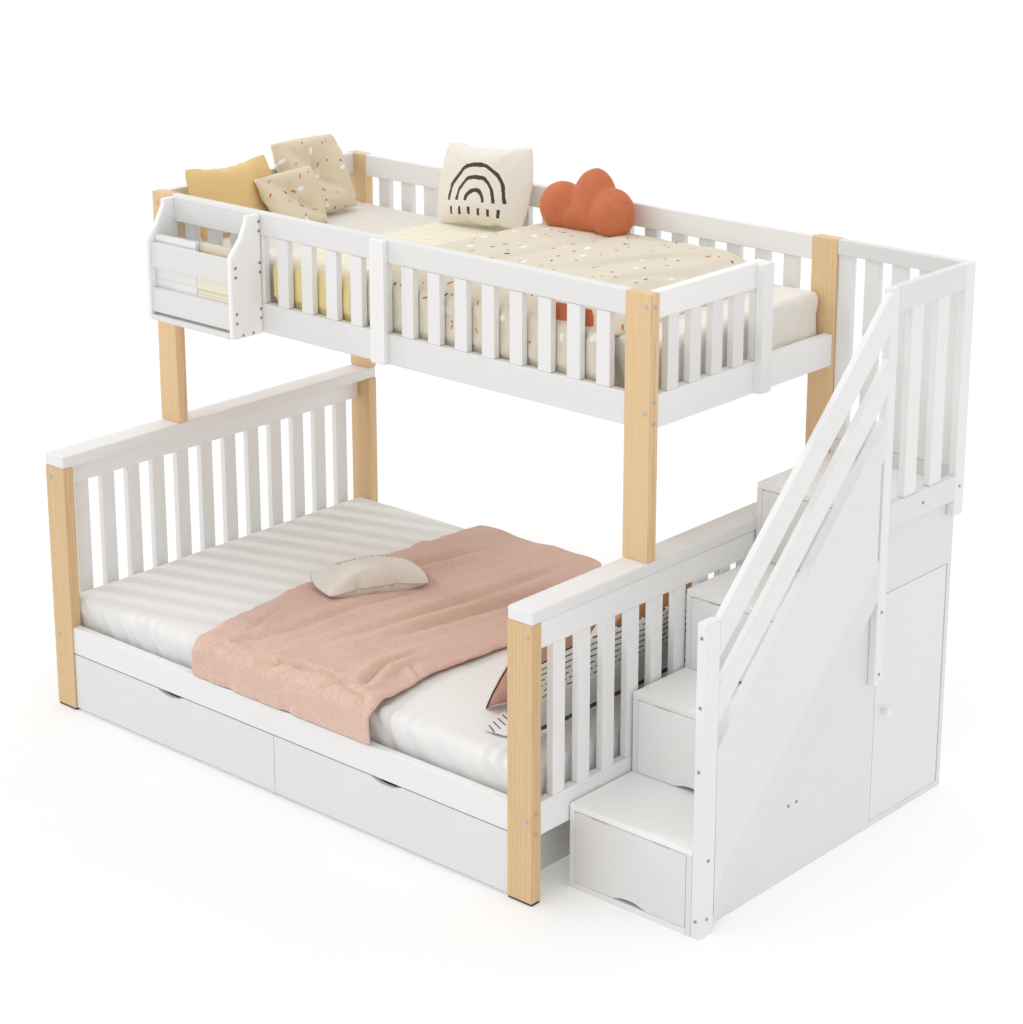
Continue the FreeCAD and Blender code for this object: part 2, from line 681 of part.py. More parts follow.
# Under-bed drawers on wheels
drawer_middle = bed_length / 2
drawer_top = side_rail_low - drawer_top_gap
drawer_spans = {"left": (post_width + drawer_gap, drawer_middle - drawer_gap / 2),
                "right": (drawer_middle + drawer_gap / 2, right_post_x - drawer_gap)}
drawer_face_y = (front_rail_y[0], front_rail_y[0] + drawer_front_thickness)
wheel_z = wheel_floor_gap + wheel_radius


def drawer_front(x0, x1):
    board = box(x0, x1, *drawer_face_y, drawer_low, drawer_top)
    middle = (x0 + x1) / 2
    half = drawer_pull_length / 2
    a = V(middle - half, drawer_face_y[0], drawer_top)
    b = V(middle, drawer_face_y[0], drawer_top - drawer_pull_depth)
    c = V(middle + half, drawer_face_y[0], drawer_top)
    pull = Part.Face(Part.Wire([arc_edge(a, b, c), line_edge(c, a)]))
    return board.cut(pull.extrude(V(0, drawer_front_thickness, 0)))


def drawer_box(x0, x1):
    """Two sides, a back and a floor, with stub axles standing in from the sides."""
    y0 = drawer_face_y[1]
    y1 = y0 + drawer_box_depth
    z1 = drawer_top - drawer_side_drop
    sides = [box(x, x + drawer_board, y0, y1, drawer_low, z1) for x in (x0, x1 - drawer_board)]
    inner = (x0 + drawer_board, x1 - drawer_board)
    back = box(*inner, y1 - drawer_board, y1, drawer_box_low, z1)
    floor = box(*inner, y0, y1 - drawer_board, drawer_box_low, drawer_box_low + drawer_board)
    return sides + [back, floor]


def drawer_axles(x0, x1, y):
    inner = ((x0 + drawer_board, 1), (x1 - drawer_board, -1))
    axles = []
    for x, way in inner:
        axle = cylinder(axle_radius, axle_length, V(x, y, wheel_z), V(way, 0, 0))
        end = V(x + way * axle_length, y, wheel_z)
        axle = axle.fuse(cylinder(axle_cap_radius, axle_cap_length, end, V(way, 0, 0)))
        axles.append(axle.removeSplitter())
    return axles


def drawer_wheels(x0, x1, y):
    start = (axle_length - wheel_width) / 2
    wheels = []
    for x, way in ((x0 + drawer_board, 1), (x1 - drawer_board, -1)):
        base = V(x + way * start, y, wheel_z)
        wheel = cylinder(wheel_radius, wheel_width, base, V(way, 0, 0))
        wheels.append(wheel.cut(cylinder(axle_radius + axle_clearance, wheel_width, base, V(way, 0, 0))))
    return wheels


wheel_rows = {"front": drawer_face_y[1] + wheel_from_end,
              "back": drawer_face_y[1] + drawer_box_depth - wheel_from_end}
for side, (x0, x1) in drawer_spans.items():
    box_x = (x0 + drawer_side_inset, x1 - drawer_side_inset)
    save(side + "_drawer_front", drawer_front(x0, x1))
    axles = [axle for y in wheel_rows.values() for axle in drawer_axles(*box_x, y)]
    save(side + "_drawer_box", *drawer_box(*box_x), *axles)
    for row, y in wheel_rows.items():
        save("%s_drawer_%s_wheels" % (side, row), *drawer_wheels(*box_x, y))


# Fasteners: round heads with a six-sided socket, seated on the faces they hold
def bolt_head(place, direction, radius, height):
    head = cylinder(radius, height, place, direction)
    across = direction.cross(V(0, 0, 1))
    start = place + direction * (height - socket_depth)
    corners = []
    for i in range(6):
        turn = FreeCAD.Rotation(direction, i * 360 / 6)
        corners.append(start + turn.multVec(across) * socket_radius)
    socket = Part.Face(Part.makePolygon(corners + corners[:1])).extrude(direction * socket_depth)
    return head.cut(socket)


front_way, back_way, left_way, right_way = V(0, -1, 0), V(0, 1, 0), V(-1, 0, 0), V(1, 0, 0)
end_bolt_x = (frame_bolt_inset, bed_length - frame_bolt_inset)
lower_bolt_z = ((end_bottom_rail_low + end_bottom_rail_top) / 2, (end_top_rail_low + cap_low) / 2)
upper_bolt_z = ((guard_rail_low + guard_rail_top) / 2, (guard_top_rail_low + top_height) / 2)
side_bolt_z = (side_rail_low + side_rail_top) / 2
side_bolt_levels = (side_bolt_z - side_bolt_spread / 2, side_bolt_z + side_bolt_spread / 2)
guard_bolt_levels = [upper_bolt_z[0] + s * side_bolt_spread / 2 for s in (-1, 1)] + [upper_bolt_z[1]]
end_faces = ((0, left_way), (bed_length, right_way))
bolts = []
for x in end_bolt_x:
    bolts += [bolt_head(V(x, 0, z), front_way, bolt_radius, bolt_height) for z in lower_bolt_z]
    bolts += [bolt_head(V(x, upper_front_y, z), front_way, bolt_radius, bolt_height) for z in upper_bolt_z]
for x, way in end_faces:
    bolts += [bolt_head(V(x, post_depth / 2, z), way, bolt_radius, bolt_height) for z in side_bolt_levels]
    bolts += [bolt_head(V(x, upper_front_y + post_depth / 2, z), way, bolt_radius, bolt_height)
              for z in guard_bolt_levels]
save("frame_bolts", *bolts)


def screw_head(place, direction):
    return cylinder(screw_radius, screw_height, place, direction)


screws = []
caddy_rail_middles = [z + caddy_rail_height / 2 for z in (caddy_lower_rail_low, caddy_upper_rail_low)]
caddy_back_middles = caddy_rail_middles + [(caddy_top_rail_low + caddy_top) / 2]
for x, way in ((caddy_left_x, left_way), (caddy_right_x, right_way)):
    for board, middles in ((caddy_front_board, caddy_rail_middles), (caddy_back_board, caddy_back_middles)):
        y = (board[0] + board[1]) / 2
        for z in middles:
            for side in (-1, 1):
                screws.append(screw_head(V(x, y, z + side * caddy_screw_spread / 2), way))
    for y in spread(caddy_front_y, caddy_back_y, 0, 2):
        screws.append(screw_head(V(x, y, caddy_low + caddy_board / 2), way))
newel_x = stair_right + newel_thickness / 2
newel_y = (stair_front_y + newel_back_y) / 2
leg_y = (leg_front_y + leg_back_y) / 2
landing_rail_z = (landing_rail_low + landing_rail_top) / 2
leg_height = top_height - leg_low
screws += [screw_head(V(newel_x, stair_front_y, s * newel_top), front_way) for s in newel_screw_shares]
screws += [screw_head(V(guard_outer, newel_y, s * newel_top), right_way) for s in newel_side_screw_shares]
screws += [screw_head(V(stile_x[1], leg_y, leg_low + s * leg_height), right_way) for s in leg_screw_shares]
screws += [screw_head(V(stile_x[1], y, landing_rail_z), right_way)
           for y in ((leg_back_y + landing_stile_y) / 2, landing_stile_y + landing_stile_width / 2)]
screws += [screw_head(V(stair_right, stair_front_y + run * stair_depth, rise * landing_top), right_way)
           for run, rise in stair_screw_shares]
save("panel_screws", *screws)

# Plain books standing in the caddy
book_rows = [caddy_front_board[1] + book_gap + i * (book_thickness + book_gap) for i in range(2)]
book_width = book_width_share * (caddy_inner_x[1] - caddy_inner_x[0])
book_columns = (caddy_inner_x[0] + book_gap, caddy_inner_x[1] - book_gap - book_width)
book_tops = ((book_height, small_book_height), (small_book_height, book_height))
books = []
for y, tops in zip(book_rows, book_tops):
    for x, tall in zip(book_columns, tops):
        books.append(box(x, x + book_width, y, y + book_thickness, caddy_floor_top, caddy_floor_top + tall))
save("books", *books)


# Mattresses: crowned tops, bulged sides and drawn-in ends
def mattress(length, width, height, x0, y0, z0):
    wires = []
    for x, draw in ((x0, mattress_draw), (x0 + mattress_edge, 0), (x0 + length - mattress_edge, 0),
                    (x0 + length, mattress_draw)):
        front = y0 + mattress_bulge + draw
        back = y0 + width - mattress_bulge - draw
        low = z0 + draw
        top = z0 + height - mattress_crown - draw
        a, b, c, d = V(x, front, low), V(x, back, low), V(x, back, top), V(x, front, top)
        middle = (low + top) / 2
        wires.append(Part.Wire([line_edge(a, b), arc_edge(b, V(x, back + mattress_bulge, middle), c),
                                arc_edge(c, V(x, (front + back) / 2, top + mattress_crown), d),
                                arc_edge(d, V(x, front - mattress_bulge, middle), a)]))
    return Part.makeLoft(wires, True, True)


mattress_x = post_width + mattress_end_gap
mattress_length = right_post_x - mattress_end_gap - mattress_x
lower_mattress_y = front_rail_y[1] + lower_mattress_gap
lower_mattress_width = back_rail_y[0] - lower_mattress_gap - lower_mattress_y
lower_mattress_z = lower_base_top + soft_gap
mattress_left_x = mattress_x - mattress_end_reach
mattress_full_length = mattress_length + 2 * mattress_end_reach
lower_mattress = mattress(mattress_full_length, lower_mattress_width, lower_mattress_height,
                          mattress_left_x, lower_mattress_y, lower_mattress_z)
save("lower_mattress", lower_mattress.copy())
upper_mattress_y = guard_front_y[1] + upper_mattress_front_gap
upper_mattress_width = back_rail_y[0] - upper_mattress_back_gap - upper_mattress_y
upper_mattress_z = upper_base_top + soft_gap
upper_mattress = mattress(mattress_full_length, upper_mattress_width, upper_mattress_height,
                          mattress_left_x, upper_mattress_y, upper_mattress_z)
save("upper_mattress", upper_mattress.copy())

# Sheets and covers: a flat underside and a top of rounded folds
fold_shares = (0, 0.17, 0.36, 0.5, 0.72, 0.86, 1)
fold_rise_shares = (0.7, 1, 0.5, 0.9, 0.6, 0.8)


def fold_edges(points, lift, rise):
    """Arcs from point to point, each raised in the direction of lift by its share of rise."""
    edges = []
    for a, b, share in zip(points, points[1:], fold_rise_shares):
        edges.append(arc_edge(a, (a + b) / 2 + lift * (rise * share), b))
    return edges


def folded_wire(start, end, out, thickness, rise):
    """A closed section from start to end, flat on one side and folded on the side that out points to."""
    points = [start + (end - start) * share + out * thickness for share in fold_shares]
    edges = [line_edge(end, start), line_edge(start, points[0])]
    edges += fold_edges(points, out, rise)
    edges.append(line_edge(points[-1], end))
    return Part.Wire(edges)


def along_mattress(share):
    return mattress_x + share * mattress_length


up_way = V(0, 0, 1)
lower_sheet_z = lower_mattress_z + lower_mattress_height + soft_gap
hem_z = side_rail_top + soft_gap
blanket_hem_y = front_rail_y[0] + blanket_hem_inset
blanket_front_left_x, blanket_front_right_x = [along_mattress(s) for s in blanket_front_shares]
blanket_back_left_x, blanket_back_right_x = [along_mattress(s) for s in blanket_back_shares]
blanket_back_y = lower_mattress_y + lower_mattress_width - blanket_back_gap
blanket_front_y = lower_mattress_y + mattress_bulge
blanket_run_shares = (0, 0.25, 0.5, 0.75, 1)
blanket_right_shares = (0, 0.05, 0.2, 0.52, 1)
blanket_wires = [
    folded_wire(V(blanket_front_left_x, blanket_hem_y, hem_z), V(blanket_front_right_x, blanket_hem_y, hem_z),
                up_way, blanket_thickness, blanket_fold / 2),
    folded_wire(V(blanket_front_left_x, lower_mattress_y - blanket_tuck, hem_z + blanket_roll),
                V(blanket_front_right_x, lower_mattress_y - blanket_tuck, hem_z + blanket_roll),
                up_way, blanket_thickness, blanket_fold)]
for run, bend in zip(blanket_run_shares, blanket_right_shares):
    y = blanket_front_y + run * (blanket_back_y - blanket_front_y)
    left = blanket_front_left_x + run * (blanket_back_left_x - blanket_front_left_x)
    right = blanket_front_right_x + bend * (blanket_back_right_x - blanket_front_right_x)
    blanket_wires.append(folded_wire(V(left, y, lower_sheet_z), V(right, y, lower_sheet_z), up_way,
                                     blanket_thickness, blanket_fold))
blanket = Part.makeLoft(blanket_wires, True, True)
save("lower_blanket", blanket.copy())

upper_sheet_z = upper_mattress_z + upper_mattress_height + soft_gap
drape_back_y = upper_mattress_y - soft_gap
drape_low = guard_rail_top + drape_clearance
cover_back_y = upper_mattress_y + upper_mattress_width - duvet_back_gap
drape_fall_shares = (0, 0.6, 1)
drape_fold_shares = (1, 0.8, 0.3)


def drape(x0, x1, top):
    """Cloth that hangs between the mattress and the front guard, in upright folds."""
    wires = []
    for fall, fold in zip(drape_fall_shares, drape_fold_shares):
        z = drape_low + fall * (top - drape_low)
        wires.append(folded_wire(V(x0, drape_back_y, z), V(x1, drape_back_y, z), front_way, drape_thickness,
                                 drape_fold * fold))
    return Part.makeLoft(wires, True, True)


throw_left_x, throw_right_x = [along_mattress(s) for s in throw_shares]
throw_wires = [folded_wire(V(throw_left_x, y, upper_sheet_z), V(throw_right_x, y, upper_sheet_z), up_way,
                           throw_thickness, throw_fold) for y in (drape_back_y, cover_back_y)]
throw_top = Part.makeLoft(throw_wires, True, True)
throw_drape = drape(throw_left_x, throw_right_x, upper_sheet_z + throw_thickness)
save("upper_throw", throw_top.copy(), throw_drape)

duvet_run_shares = (0, 0.05, 0.25, 0.5, 0.72, 0.9, 1)
duvet_height_shares = (0.3, 0.85, 1, 0.92, 1, 0.85, 0.15)
duvet_left_x, duvet_right_x = [along_mattress(s) for s in duvet_shares]
duvet_wires = []
for run, rise in zip(duvet_run_shares, duvet_height_shares):
    x = duvet_left_x + run * (duvet_right_x - duvet_left_x)
    duvet_wires.append(folded_wire(V(x, drape_back_y, upper_sheet_z), V(x, cover_back_y, upper_sheet_z), up_way,
                                   rise * (duvet_height - duvet_fold), rise * duvet_fold))
duvet_top = Part.makeLoft(duvet_wires, True, True)
duvet_drape = drape(duvet_left_x, duvet_right_x, upper_sheet_z)
save("upper_duvet", duvet_top.copy(), duvet_drape.copy())

# Cushions: full corners, drawn-in sides and a crowned middle
run_shares = (-1, -0.8, -0.45, 0, 0.45, 0.8, 1)
drawn_shares = (1, 0.95, 0.91, 0.9, 0.91, 0.95, 1)
plump_shares = (0.07, 0.5, 0.88, 1, 0.88, 0.5, 0.07)
tufted_shares = (0.07, 0.62, 1, 0.6, 1, 0.62, 0.07)
quilted_shares = (0.1, 0.8, 0.7, 1, 0.7, 0.8, 0.1)


def pillow(width, height, thickness, thick_shares):
    wires = []
    for run, drawn, thick in zip(run_shares, drawn_shares, thick_shares):
        x = run * width / 2
        half = drawn * height / 2
        swell = thick * thickness / 2
        low, high = V(x, 0, -half), V(x, 0, half)
        wires.append(Part.Wire([arc_edge(low, V(x, -swell, 0), high), arc_edge(high, V(x, swell, 0), low)]))
    return Part.makeLoft(wires, True, True)


settle_count = 12


def settle(shape, supports):
    """Lower a cushion until it lies one soft gap above whatever carries it."""
    for _ in range(settle_count):
        reach = min(shape.distToShape(support)[0] for support in supports) - soft_gap
        if reach < soft_gap / 2:
            break
        shape.translate(V(0, 0, -reach))
    return shape


def stand(shape, x, y, angles, supports):
    """Turn a cushion to its lean, heading and roll, and set it down at its place."""
    lean, heading, roll = angles
    shape.rotate(V(0, 0, 0), V(0, 1, 0), roll)
    shape.rotate(V(0, 0, 0), V(1, 0, 0), -lean)
    shape.rotate(V(0, 0, 0), V(0, 0, 1), heading)
    carried = max(support.BoundBox.ZMax for support in supports)
    shape.translate(V(x, y, carried + soft_gap - shape.BoundBox.ZMin))
    return settle(shape, supports)


def upper_across(share):
    return upper_mattress_y + share * upper_mattress_width


def lower_across(share):
    return lower_mattress_y + share * lower_mattress_width


head_face_x = head_rail_x[1]
square_pillow_y = back_rail_y[0] - leaning_gap - square_pillow_thickness / 2
square_pillow = stand(pillow(square_pillow_width, square_pillow_height, square_pillow_thickness, plump_shares),
                      along_mattress(square_pillow_along_share), square_pillow_y, square_pillow_angles,
                      [upper_mattress, throw_top, duvet_top])
save("square_pillow", square_pillow)
yellow_pillow_x = head_face_x + yellow_pillow_gap + yellow_pillow_thickness / 2
yellow_pillow_width = yellow_pillow_width_share * upper_mattress_width
yellow_pillow = stand(pillow(yellow_pillow_width, yellow_pillow_height, yellow_pillow_thickness, quilted_shares),
                      yellow_pillow_x, upper_across(yellow_pillow_across_share), yellow_pillow_angles,
                      [upper_mattress])
back_print_x = head_face_x + back_print_gap + print_pillow_thickness / 2
back_print_width = back_print_width_share * upper_mattress_width
back_print = stand(pillow(back_print_width, back_print_height, print_pillow_thickness, tufted_shares),
                   back_print_x, upper_across(back_print_across_share), back_print_angles, [upper_mattress])
front_print_x = yellow_pillow_x + (yellow_pillow_thickness + print_pillow_thickness) / 2 + front_print_gap
front_print_width = front_print_width_share * upper_mattress_width
front_print = stand(pillow(front_print_width, front_print_height, print_pillow_thickness, tufted_shares),
                    front_print_x, upper_across(front_print_across_share), front_print_angles, [upper_mattress])
save("head_pillows", yellow_pillow, back_print, front_print)
lying_pillow_along_share, lying_pillow_across_share = lying_pillow_shares
lying_pillow = stand(pillow(lying_pillow_width, lying_pillow_height, lying_pillow_thickness, plump_shares),
                     along_mattress(lying_pillow_along_share), lower_across(lying_pillow_across_share),
                     lying_pillow_angles, [lower_mattress, blanket])
save("lying_pillow", lying_pillow)
foot_throw_x = foot_rail_x[0] - foot_throw_setback
foot_pillow_x = foot_throw_x - foot_pillow_gap - foot_pillow_thickness / 2
foot_pillow_width = foot_pillow_width_share * lower_mattress_width
foot_pillows = [stand(pillow(foot_pillow_width, foot_pillow_height, foot_pillow_thickness, plump_shares),
                      foot_pillow_x, lower_across(share), foot_pillow_angles, [lower_mattress])
                for share in foot_pillow_across_shares]
save("foot_pillows", *foot_pillows)

# Cloud cushion: a flat base and three lobes, swelling towards its middle
lobe_shares = ((-0.5, 0.14), (-0.52, 0.46), (-0.36, 0.72), (-0.16, 0.66), (-0.1, 0.92), (0.05, 1), (0.18, 0.88),
               (0.24, 0.6), (0.38, 0.64), (0.5, 0.5), (0.5, 0.16), (0.42, 0.02), (0, 0.04), (-0.4, 0.02))
depth_shares = (-0.5, -0.3, 0, 0.3, 0.5)
swell_shares = (0.55, 0.88, 1, 0.88, 0.55)


def cloud():
    wires = []
    for depth, swell in zip(depth_shares, swell_shares):
        points = [V(x * cloud_width * swell, depth * cloud_thickness, (z - 1 / 2) * cloud_height * swell)
                  for x, z in lobe_shares]
        ring = points + points[:1]
        wires.append(Part.Wire([arc_edge(*ring[i:i + 3]) for i in range(0, len(points), 2)]))
    return Part.makeLoft(wires, True, True)


cloud_y = back_rail_y[0] - leaning_gap - cloud_thickness / 2
cloud_cushion = stand(cloud(), along_mattress(cloud_along_share), cloud_y, cloud_angles, [duvet_top])
small_cushion = stand(pillow(small_cushion_width, small_cushion_height, small_cushion_thickness, plump_shares),
                      along_mattress(small_cushion_along_share), upper_mattress_y - small_cushion_gap,
                      small_cushion_angles, [duvet_drape])
save("rust_cushions", cloud_cushion, small_cushion)

# A folded throw stands behind the foot cushions
foot_throw_wave_shares = (0, 1, 0.2, 0.9, 0.1)
foot_throw_run_shares = (0, 0.25, 0.5, 0.75, 1)
foot_throw_low = lower_mattress_z + lower_mattress_height + soft_gap
foot_throw_length = foot_throw_share * lower_mattress_width
foot_throw_front_y = lower_mattress_y + foot_throw_front_gap
foot_throw_wires = []
for run, wave in zip(foot_throw_run_shares, foot_throw_wave_shares):
    y = foot_throw_front_y + run * foot_throw_length
    x = foot_throw_x + wave * foot_throw_fold
    low_left, low_right = V(x, y, foot_throw_low), V(x + foot_throw_thickness, y, foot_throw_low)
    lift = V(foot_throw_lean, 0, foot_throw_rise)
    high_left, high_right = low_left + lift, low_right + lift
    crest = (high_left + high_right) / 2 + V(0, 0, foot_throw_thickness / 4)
    foot_throw_wires.append(Part.Wire([line_edge(low_left, low_right), line_edge(low_right, high_right),
                                       arc_edge(high_right, crest, high_left), line_edge(high_left, low_left)]))
save("foot_throw", Part.makeLoft(foot_throw_wires, True, True))
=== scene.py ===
"""Bunk bed with storage: painted boards, pine posts, and sewn bedding on two mattresses."""
import math

import bmesh
import bpy
import numpy as np
from mathutils import Matrix, Vector, noise


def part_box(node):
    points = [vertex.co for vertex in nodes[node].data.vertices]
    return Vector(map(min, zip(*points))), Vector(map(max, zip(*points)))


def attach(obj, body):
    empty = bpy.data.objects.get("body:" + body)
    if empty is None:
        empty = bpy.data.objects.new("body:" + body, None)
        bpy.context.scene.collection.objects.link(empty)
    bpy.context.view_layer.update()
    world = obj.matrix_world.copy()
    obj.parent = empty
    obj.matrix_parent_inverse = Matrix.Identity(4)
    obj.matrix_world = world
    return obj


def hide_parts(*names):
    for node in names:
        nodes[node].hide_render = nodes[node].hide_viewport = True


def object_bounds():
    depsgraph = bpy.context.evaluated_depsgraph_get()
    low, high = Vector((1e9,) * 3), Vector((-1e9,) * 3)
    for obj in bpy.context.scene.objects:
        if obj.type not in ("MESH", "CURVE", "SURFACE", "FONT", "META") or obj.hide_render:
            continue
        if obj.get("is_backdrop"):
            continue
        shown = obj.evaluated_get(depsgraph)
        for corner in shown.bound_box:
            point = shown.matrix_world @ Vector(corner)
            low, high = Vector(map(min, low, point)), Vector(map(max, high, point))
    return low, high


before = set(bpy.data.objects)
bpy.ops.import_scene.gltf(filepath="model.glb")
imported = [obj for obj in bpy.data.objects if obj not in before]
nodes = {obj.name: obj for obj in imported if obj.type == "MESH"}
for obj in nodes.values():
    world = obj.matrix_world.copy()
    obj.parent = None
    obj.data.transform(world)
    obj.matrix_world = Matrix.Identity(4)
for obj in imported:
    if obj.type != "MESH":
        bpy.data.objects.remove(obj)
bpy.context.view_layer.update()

scene = bpy.context.scene
scene.view_settings.view_transform = "Standard"
scene.view_settings.look = "None"

# Bed frame to row frame, in metres: the bed's front left floor corner in the row frame
BED_X, BED_Y = -1.34005, -0.74775
# Points closer than this are one, in metres
MERGE_DISTANCE = 0.00001
CREASE_DEPTH = 0.004
# Shares of painted light: darker copies of the white paint stand in for shade, lighter ones for light
PAINTED_LIGHT_SHARES = {"deep": 0.915, "mid": 0.95, "plain": 1.0, "pale": 1.06, "palest": 1.1}
# Heights of the colours' borders on the throw at the foot
KNIT_TOP_Z, DARK_BAND_TOP_Z = 0.545, 0.4412
CLOTH_STIFFNESS, SHEAR_SHARE = 25.0, 0.4
CUSHION_FRAMES, CLOUD_FRAMES = 40, 8
# Half the gap between a cushion's two layers before it is blown up
SHELL_GAP = 0.0015


# shader helpers
class Shader:
    """A node material with short calls for the textures that are used over and over."""

    def __init__(self, name, colour=(0.8, 0.8, 0.8), roughness=0.5, **sockets):
        self.material = bpy.data.materials.new(name)
        self.material.use_nodes = True
        self.tree = self.material.node_tree
        self.surface = self.tree.nodes["Principled BSDF"]
        self.surface.inputs["Base Color"].default_value = (*colour, 1)
        self.surface.inputs["Roughness"].default_value = roughness
        for key, value in sockets.items():
            self.surface.inputs[key.replace("_", " ")].default_value = value
        self.material.diffuse_color = (*colour, 1)

    def node(self, kind, inputs=(), **settings):
        made = self.tree.nodes.new(kind)
        for key, value in settings.items():
            setattr(made, key, value)
        for key, value in dict(inputs).items():
            if isinstance(value, bpy.types.NodeSocket):
                self.tree.links.new(value, made.inputs[key])
            elif value is not None:
                made.inputs[key].default_value = value
        return made

    def place(self, kind="Object", scale=(1, 1, 1)):
        source = self.node("ShaderNodeTexCoord").outputs[kind]
        return self.node("ShaderNodeMapping", {"Vector": source, "Scale": scale}).outputs[0]

    def slub(self, along=60, across=600):
        """Uneven threads that run one way, so many to the metre along and across them."""
        return self.noise(self.place("UV", (along, across, 1)), 1.0, 3.0)

    def creases(self, vector, scale, strength=0.3):
        return self.bump(self.noise(vector, scale, 4.0, 0.55, 0.6), strength, CREASE_DEPTH)

    def noise(self, vector, scale, detail=3.0, rough=0.5, distortion=0.0):
        inputs = {"Vector": vector, "Scale": scale, "Detail": detail, "Roughness": rough,
                  "Distortion": distortion}
        return self.node("ShaderNodeTexNoise", inputs).outputs["Fac"]

    def wave(self, vector, scale, distortion=0.0, detail=2.0, kind="BANDS", way="X"):
        made = self.node("ShaderNodeTexWave", {"Vector": vector, "Scale": scale, "Distortion": distortion,
                                               "Detail": detail}, wave_type=kind)
        if kind == "BANDS":
            made.bands_direction = way
        else:
            made.rings_direction = way
        return made.outputs["Fac"]

    def math(self, operation, a, b=0.0, c=0.0):
        return self.node("ShaderNodeMath", {0: a, 1: b, 2: c}, operation=operation).outputs[0]

    def ramp(self, fac, *stops, constant=False):
        made = self.node("ShaderNodeValToRGB", {"Fac": fac})
        made.color_ramp.interpolation = "CONSTANT" if constant else "LINEAR"
        elements = made.color_ramp.elements
        while len(elements) < len(stops):
            elements.new(0.5)
        for element, (place, colour) in zip(elements, stops):
            element.position = place
            element.color = (*colour, 1)
        return made.outputs["Color"]

    def mix(self, fac, a, b, blend="MIX"):
        made = self.node("ShaderNodeMix", data_type="RGBA", blend_type=blend)
        for index, value in ((0, fac), (6, a), (7, b)):
            if isinstance(value, bpy.types.NodeSocket):
                self.tree.links.new(value, made.inputs[index])
            else:
                made.inputs[index].default_value = value if index == 0 else (*value, 1)
        return made.outputs[2]

    def split(self, vector):
        made = self.node("ShaderNodeSeparateXYZ", {0: vector})
        return made.outputs[0], made.outputs[1], made.outputs[2]

    def bump(self, height, strength, distance, after=None):
        return self.node("ShaderNodeBump", {"Height": height, "Strength": strength, "Distance": distance,
                                            "Normal": after}).outputs[0]

    def finish(self, colour=None, roughness=None, normal=None):
        for key, value in (("Base Color", colour), ("Roughness", roughness), ("Normal", normal)):
            if value is not None:
                self.tree.links.new(value, self.surface.inputs[key])
        return self.material

    def band(self, value, low, high):
        """1 where value lies between low and high."""
        above = self.math("GREATER_THAN", value, low)
        return self.math("MULTIPLY", above, self.math("LESS_THAN", value, high))

    def distance(self, x, y):
        return self.math("SQRT", self.math("ADD", self.math("MULTIPLY", x, x), self.math("MULTIPLY", y, y)))

    def flecks(self, vector, cell, half, density, seed=0.0, round_fleck=False):
        """Sparse small marks, one to a cell: its mask and two random values of each cell."""
        start = (seed, seed * 0.7, 0)
        moved = self.node("ShaderNodeMapping", {"Vector": vector, "Location": start}).outputs[0]
        cells = self.node("ShaderNodeTexVoronoi", {"Vector": moved, "Scale": 1 / cell, "Randomness": 0.85},
                          voronoi_dimensions="2D")
        away = self.node("ShaderNodeVectorMath", {0: moved, 1: cells.outputs["Position"]},
                         operation="SUBTRACT")
        chance = self.node("ShaderNodeSeparateColor", {0: cells.outputs["Color"]}).outputs
        turn = self.math("MULTIPLY", chance[0], 2 * math.pi)
        local = self.node("ShaderNodeVectorRotate", {"Vector": away.outputs[0], "Angle": turn},
                          rotation_type="Z_AXIS").outputs[0]
        x, y, _ = self.split(local)
        x = self.math("DIVIDE", self.math("ABSOLUTE", x), half[0])
        y = self.math("DIVIDE", self.math("ABSOLUTE", y), half[1])
        if round_fleck:
            reach = self.distance(x, y)
        else:
            reach = self.math("MAXIMUM", x, y)
        mask = self.math("MULTIPLY", self.math("LESS_THAN", reach, 1.0),
                         self.math("LESS_THAN", chance[1], density))
        return mask, chance[2], reach


# board and metal materials
def stretched(way, along, across):
    return tuple(along if axis == way else across for axis in "xyz")


# painted_shade picks a share that darkens the paint as painted shade or lightens it as painted light
def white_paint(way, painted_shade="plain"):
    share = PAINTED_LIGHT_SHARES[painted_shade]
    low = tuple(share * c for c in (0.81, 0.805, 0.797))
    high = tuple(share * c for c in (0.865, 0.862, 0.856))
    sh = Shader("white_paint_%s_%s" % (way, painted_shade), high, 0.45)
    grain = sh.noise(sh.place(scale=stretched(way, 3.0, 55.0)), 1.0, 5.0, 0.6)
    broad = sh.noise(sh.place(), 2.3, 2.0)
    colour = sh.mix(sh.math("MULTIPLY_ADD", grain, 0.6, sh.math("MULTIPLY", broad, 0.4)), low, high)
    rough = sh.math("MULTIPLY_ADD", broad, 0.12, 0.36)
    return sh.finish(colour, rough, sh.bump(grain, 0.16, 0.0012))


# share darkens or lightens the pine as painted shade or painted light
def pine(way, share=1.0):
    sh = Shader("pine_%s_%d" % (way, round(share * 100)), (0.72, 0.5, 0.27), 0.5)
    place = sh.place(scale=stretched(way, 0.9, 16.0))
    rings = sh.wave(place, 3.4, 6.5, 3.0, "RINGS", way.upper())
    fibre = sh.noise(sh.place(scale=stretched(way, 6.0, 330.0)), 1.0, 4.0, 0.65)
    streak = sh.noise(sh.place(scale=stretched(way, 1.1, 60.0)), 1.0, 3.0, 0.55, 0.3)
    base = sh.ramp(rings, (0.0, (0.80, 0.585, 0.335)), (0.55, (0.775, 0.55, 0.30)),
                   (0.86, (0.725, 0.495, 0.255)), (1.0, (0.68, 0.445, 0.22)))
    base = sh.mix(sh.math("MULTIPLY", sh.math("SUBTRACT", streak, 0.35), 0.9), base, (0.86, 0.66, 0.415))
    base = sh.mix(sh.math("MULTIPLY", fibre, 0.2), base, (0.6, 0.4, 0.2), "MULTIPLY")
    base = sh.mix(1.0, base, (share, share ** 1.15, share ** 1.4), "MULTIPLY")
    rough = sh.math("MULTIPLY_ADD", fibre, 0.2, 0.38)
    return sh.finish(base, rough, sh.bump(fibre, 0.2, 0.0008))


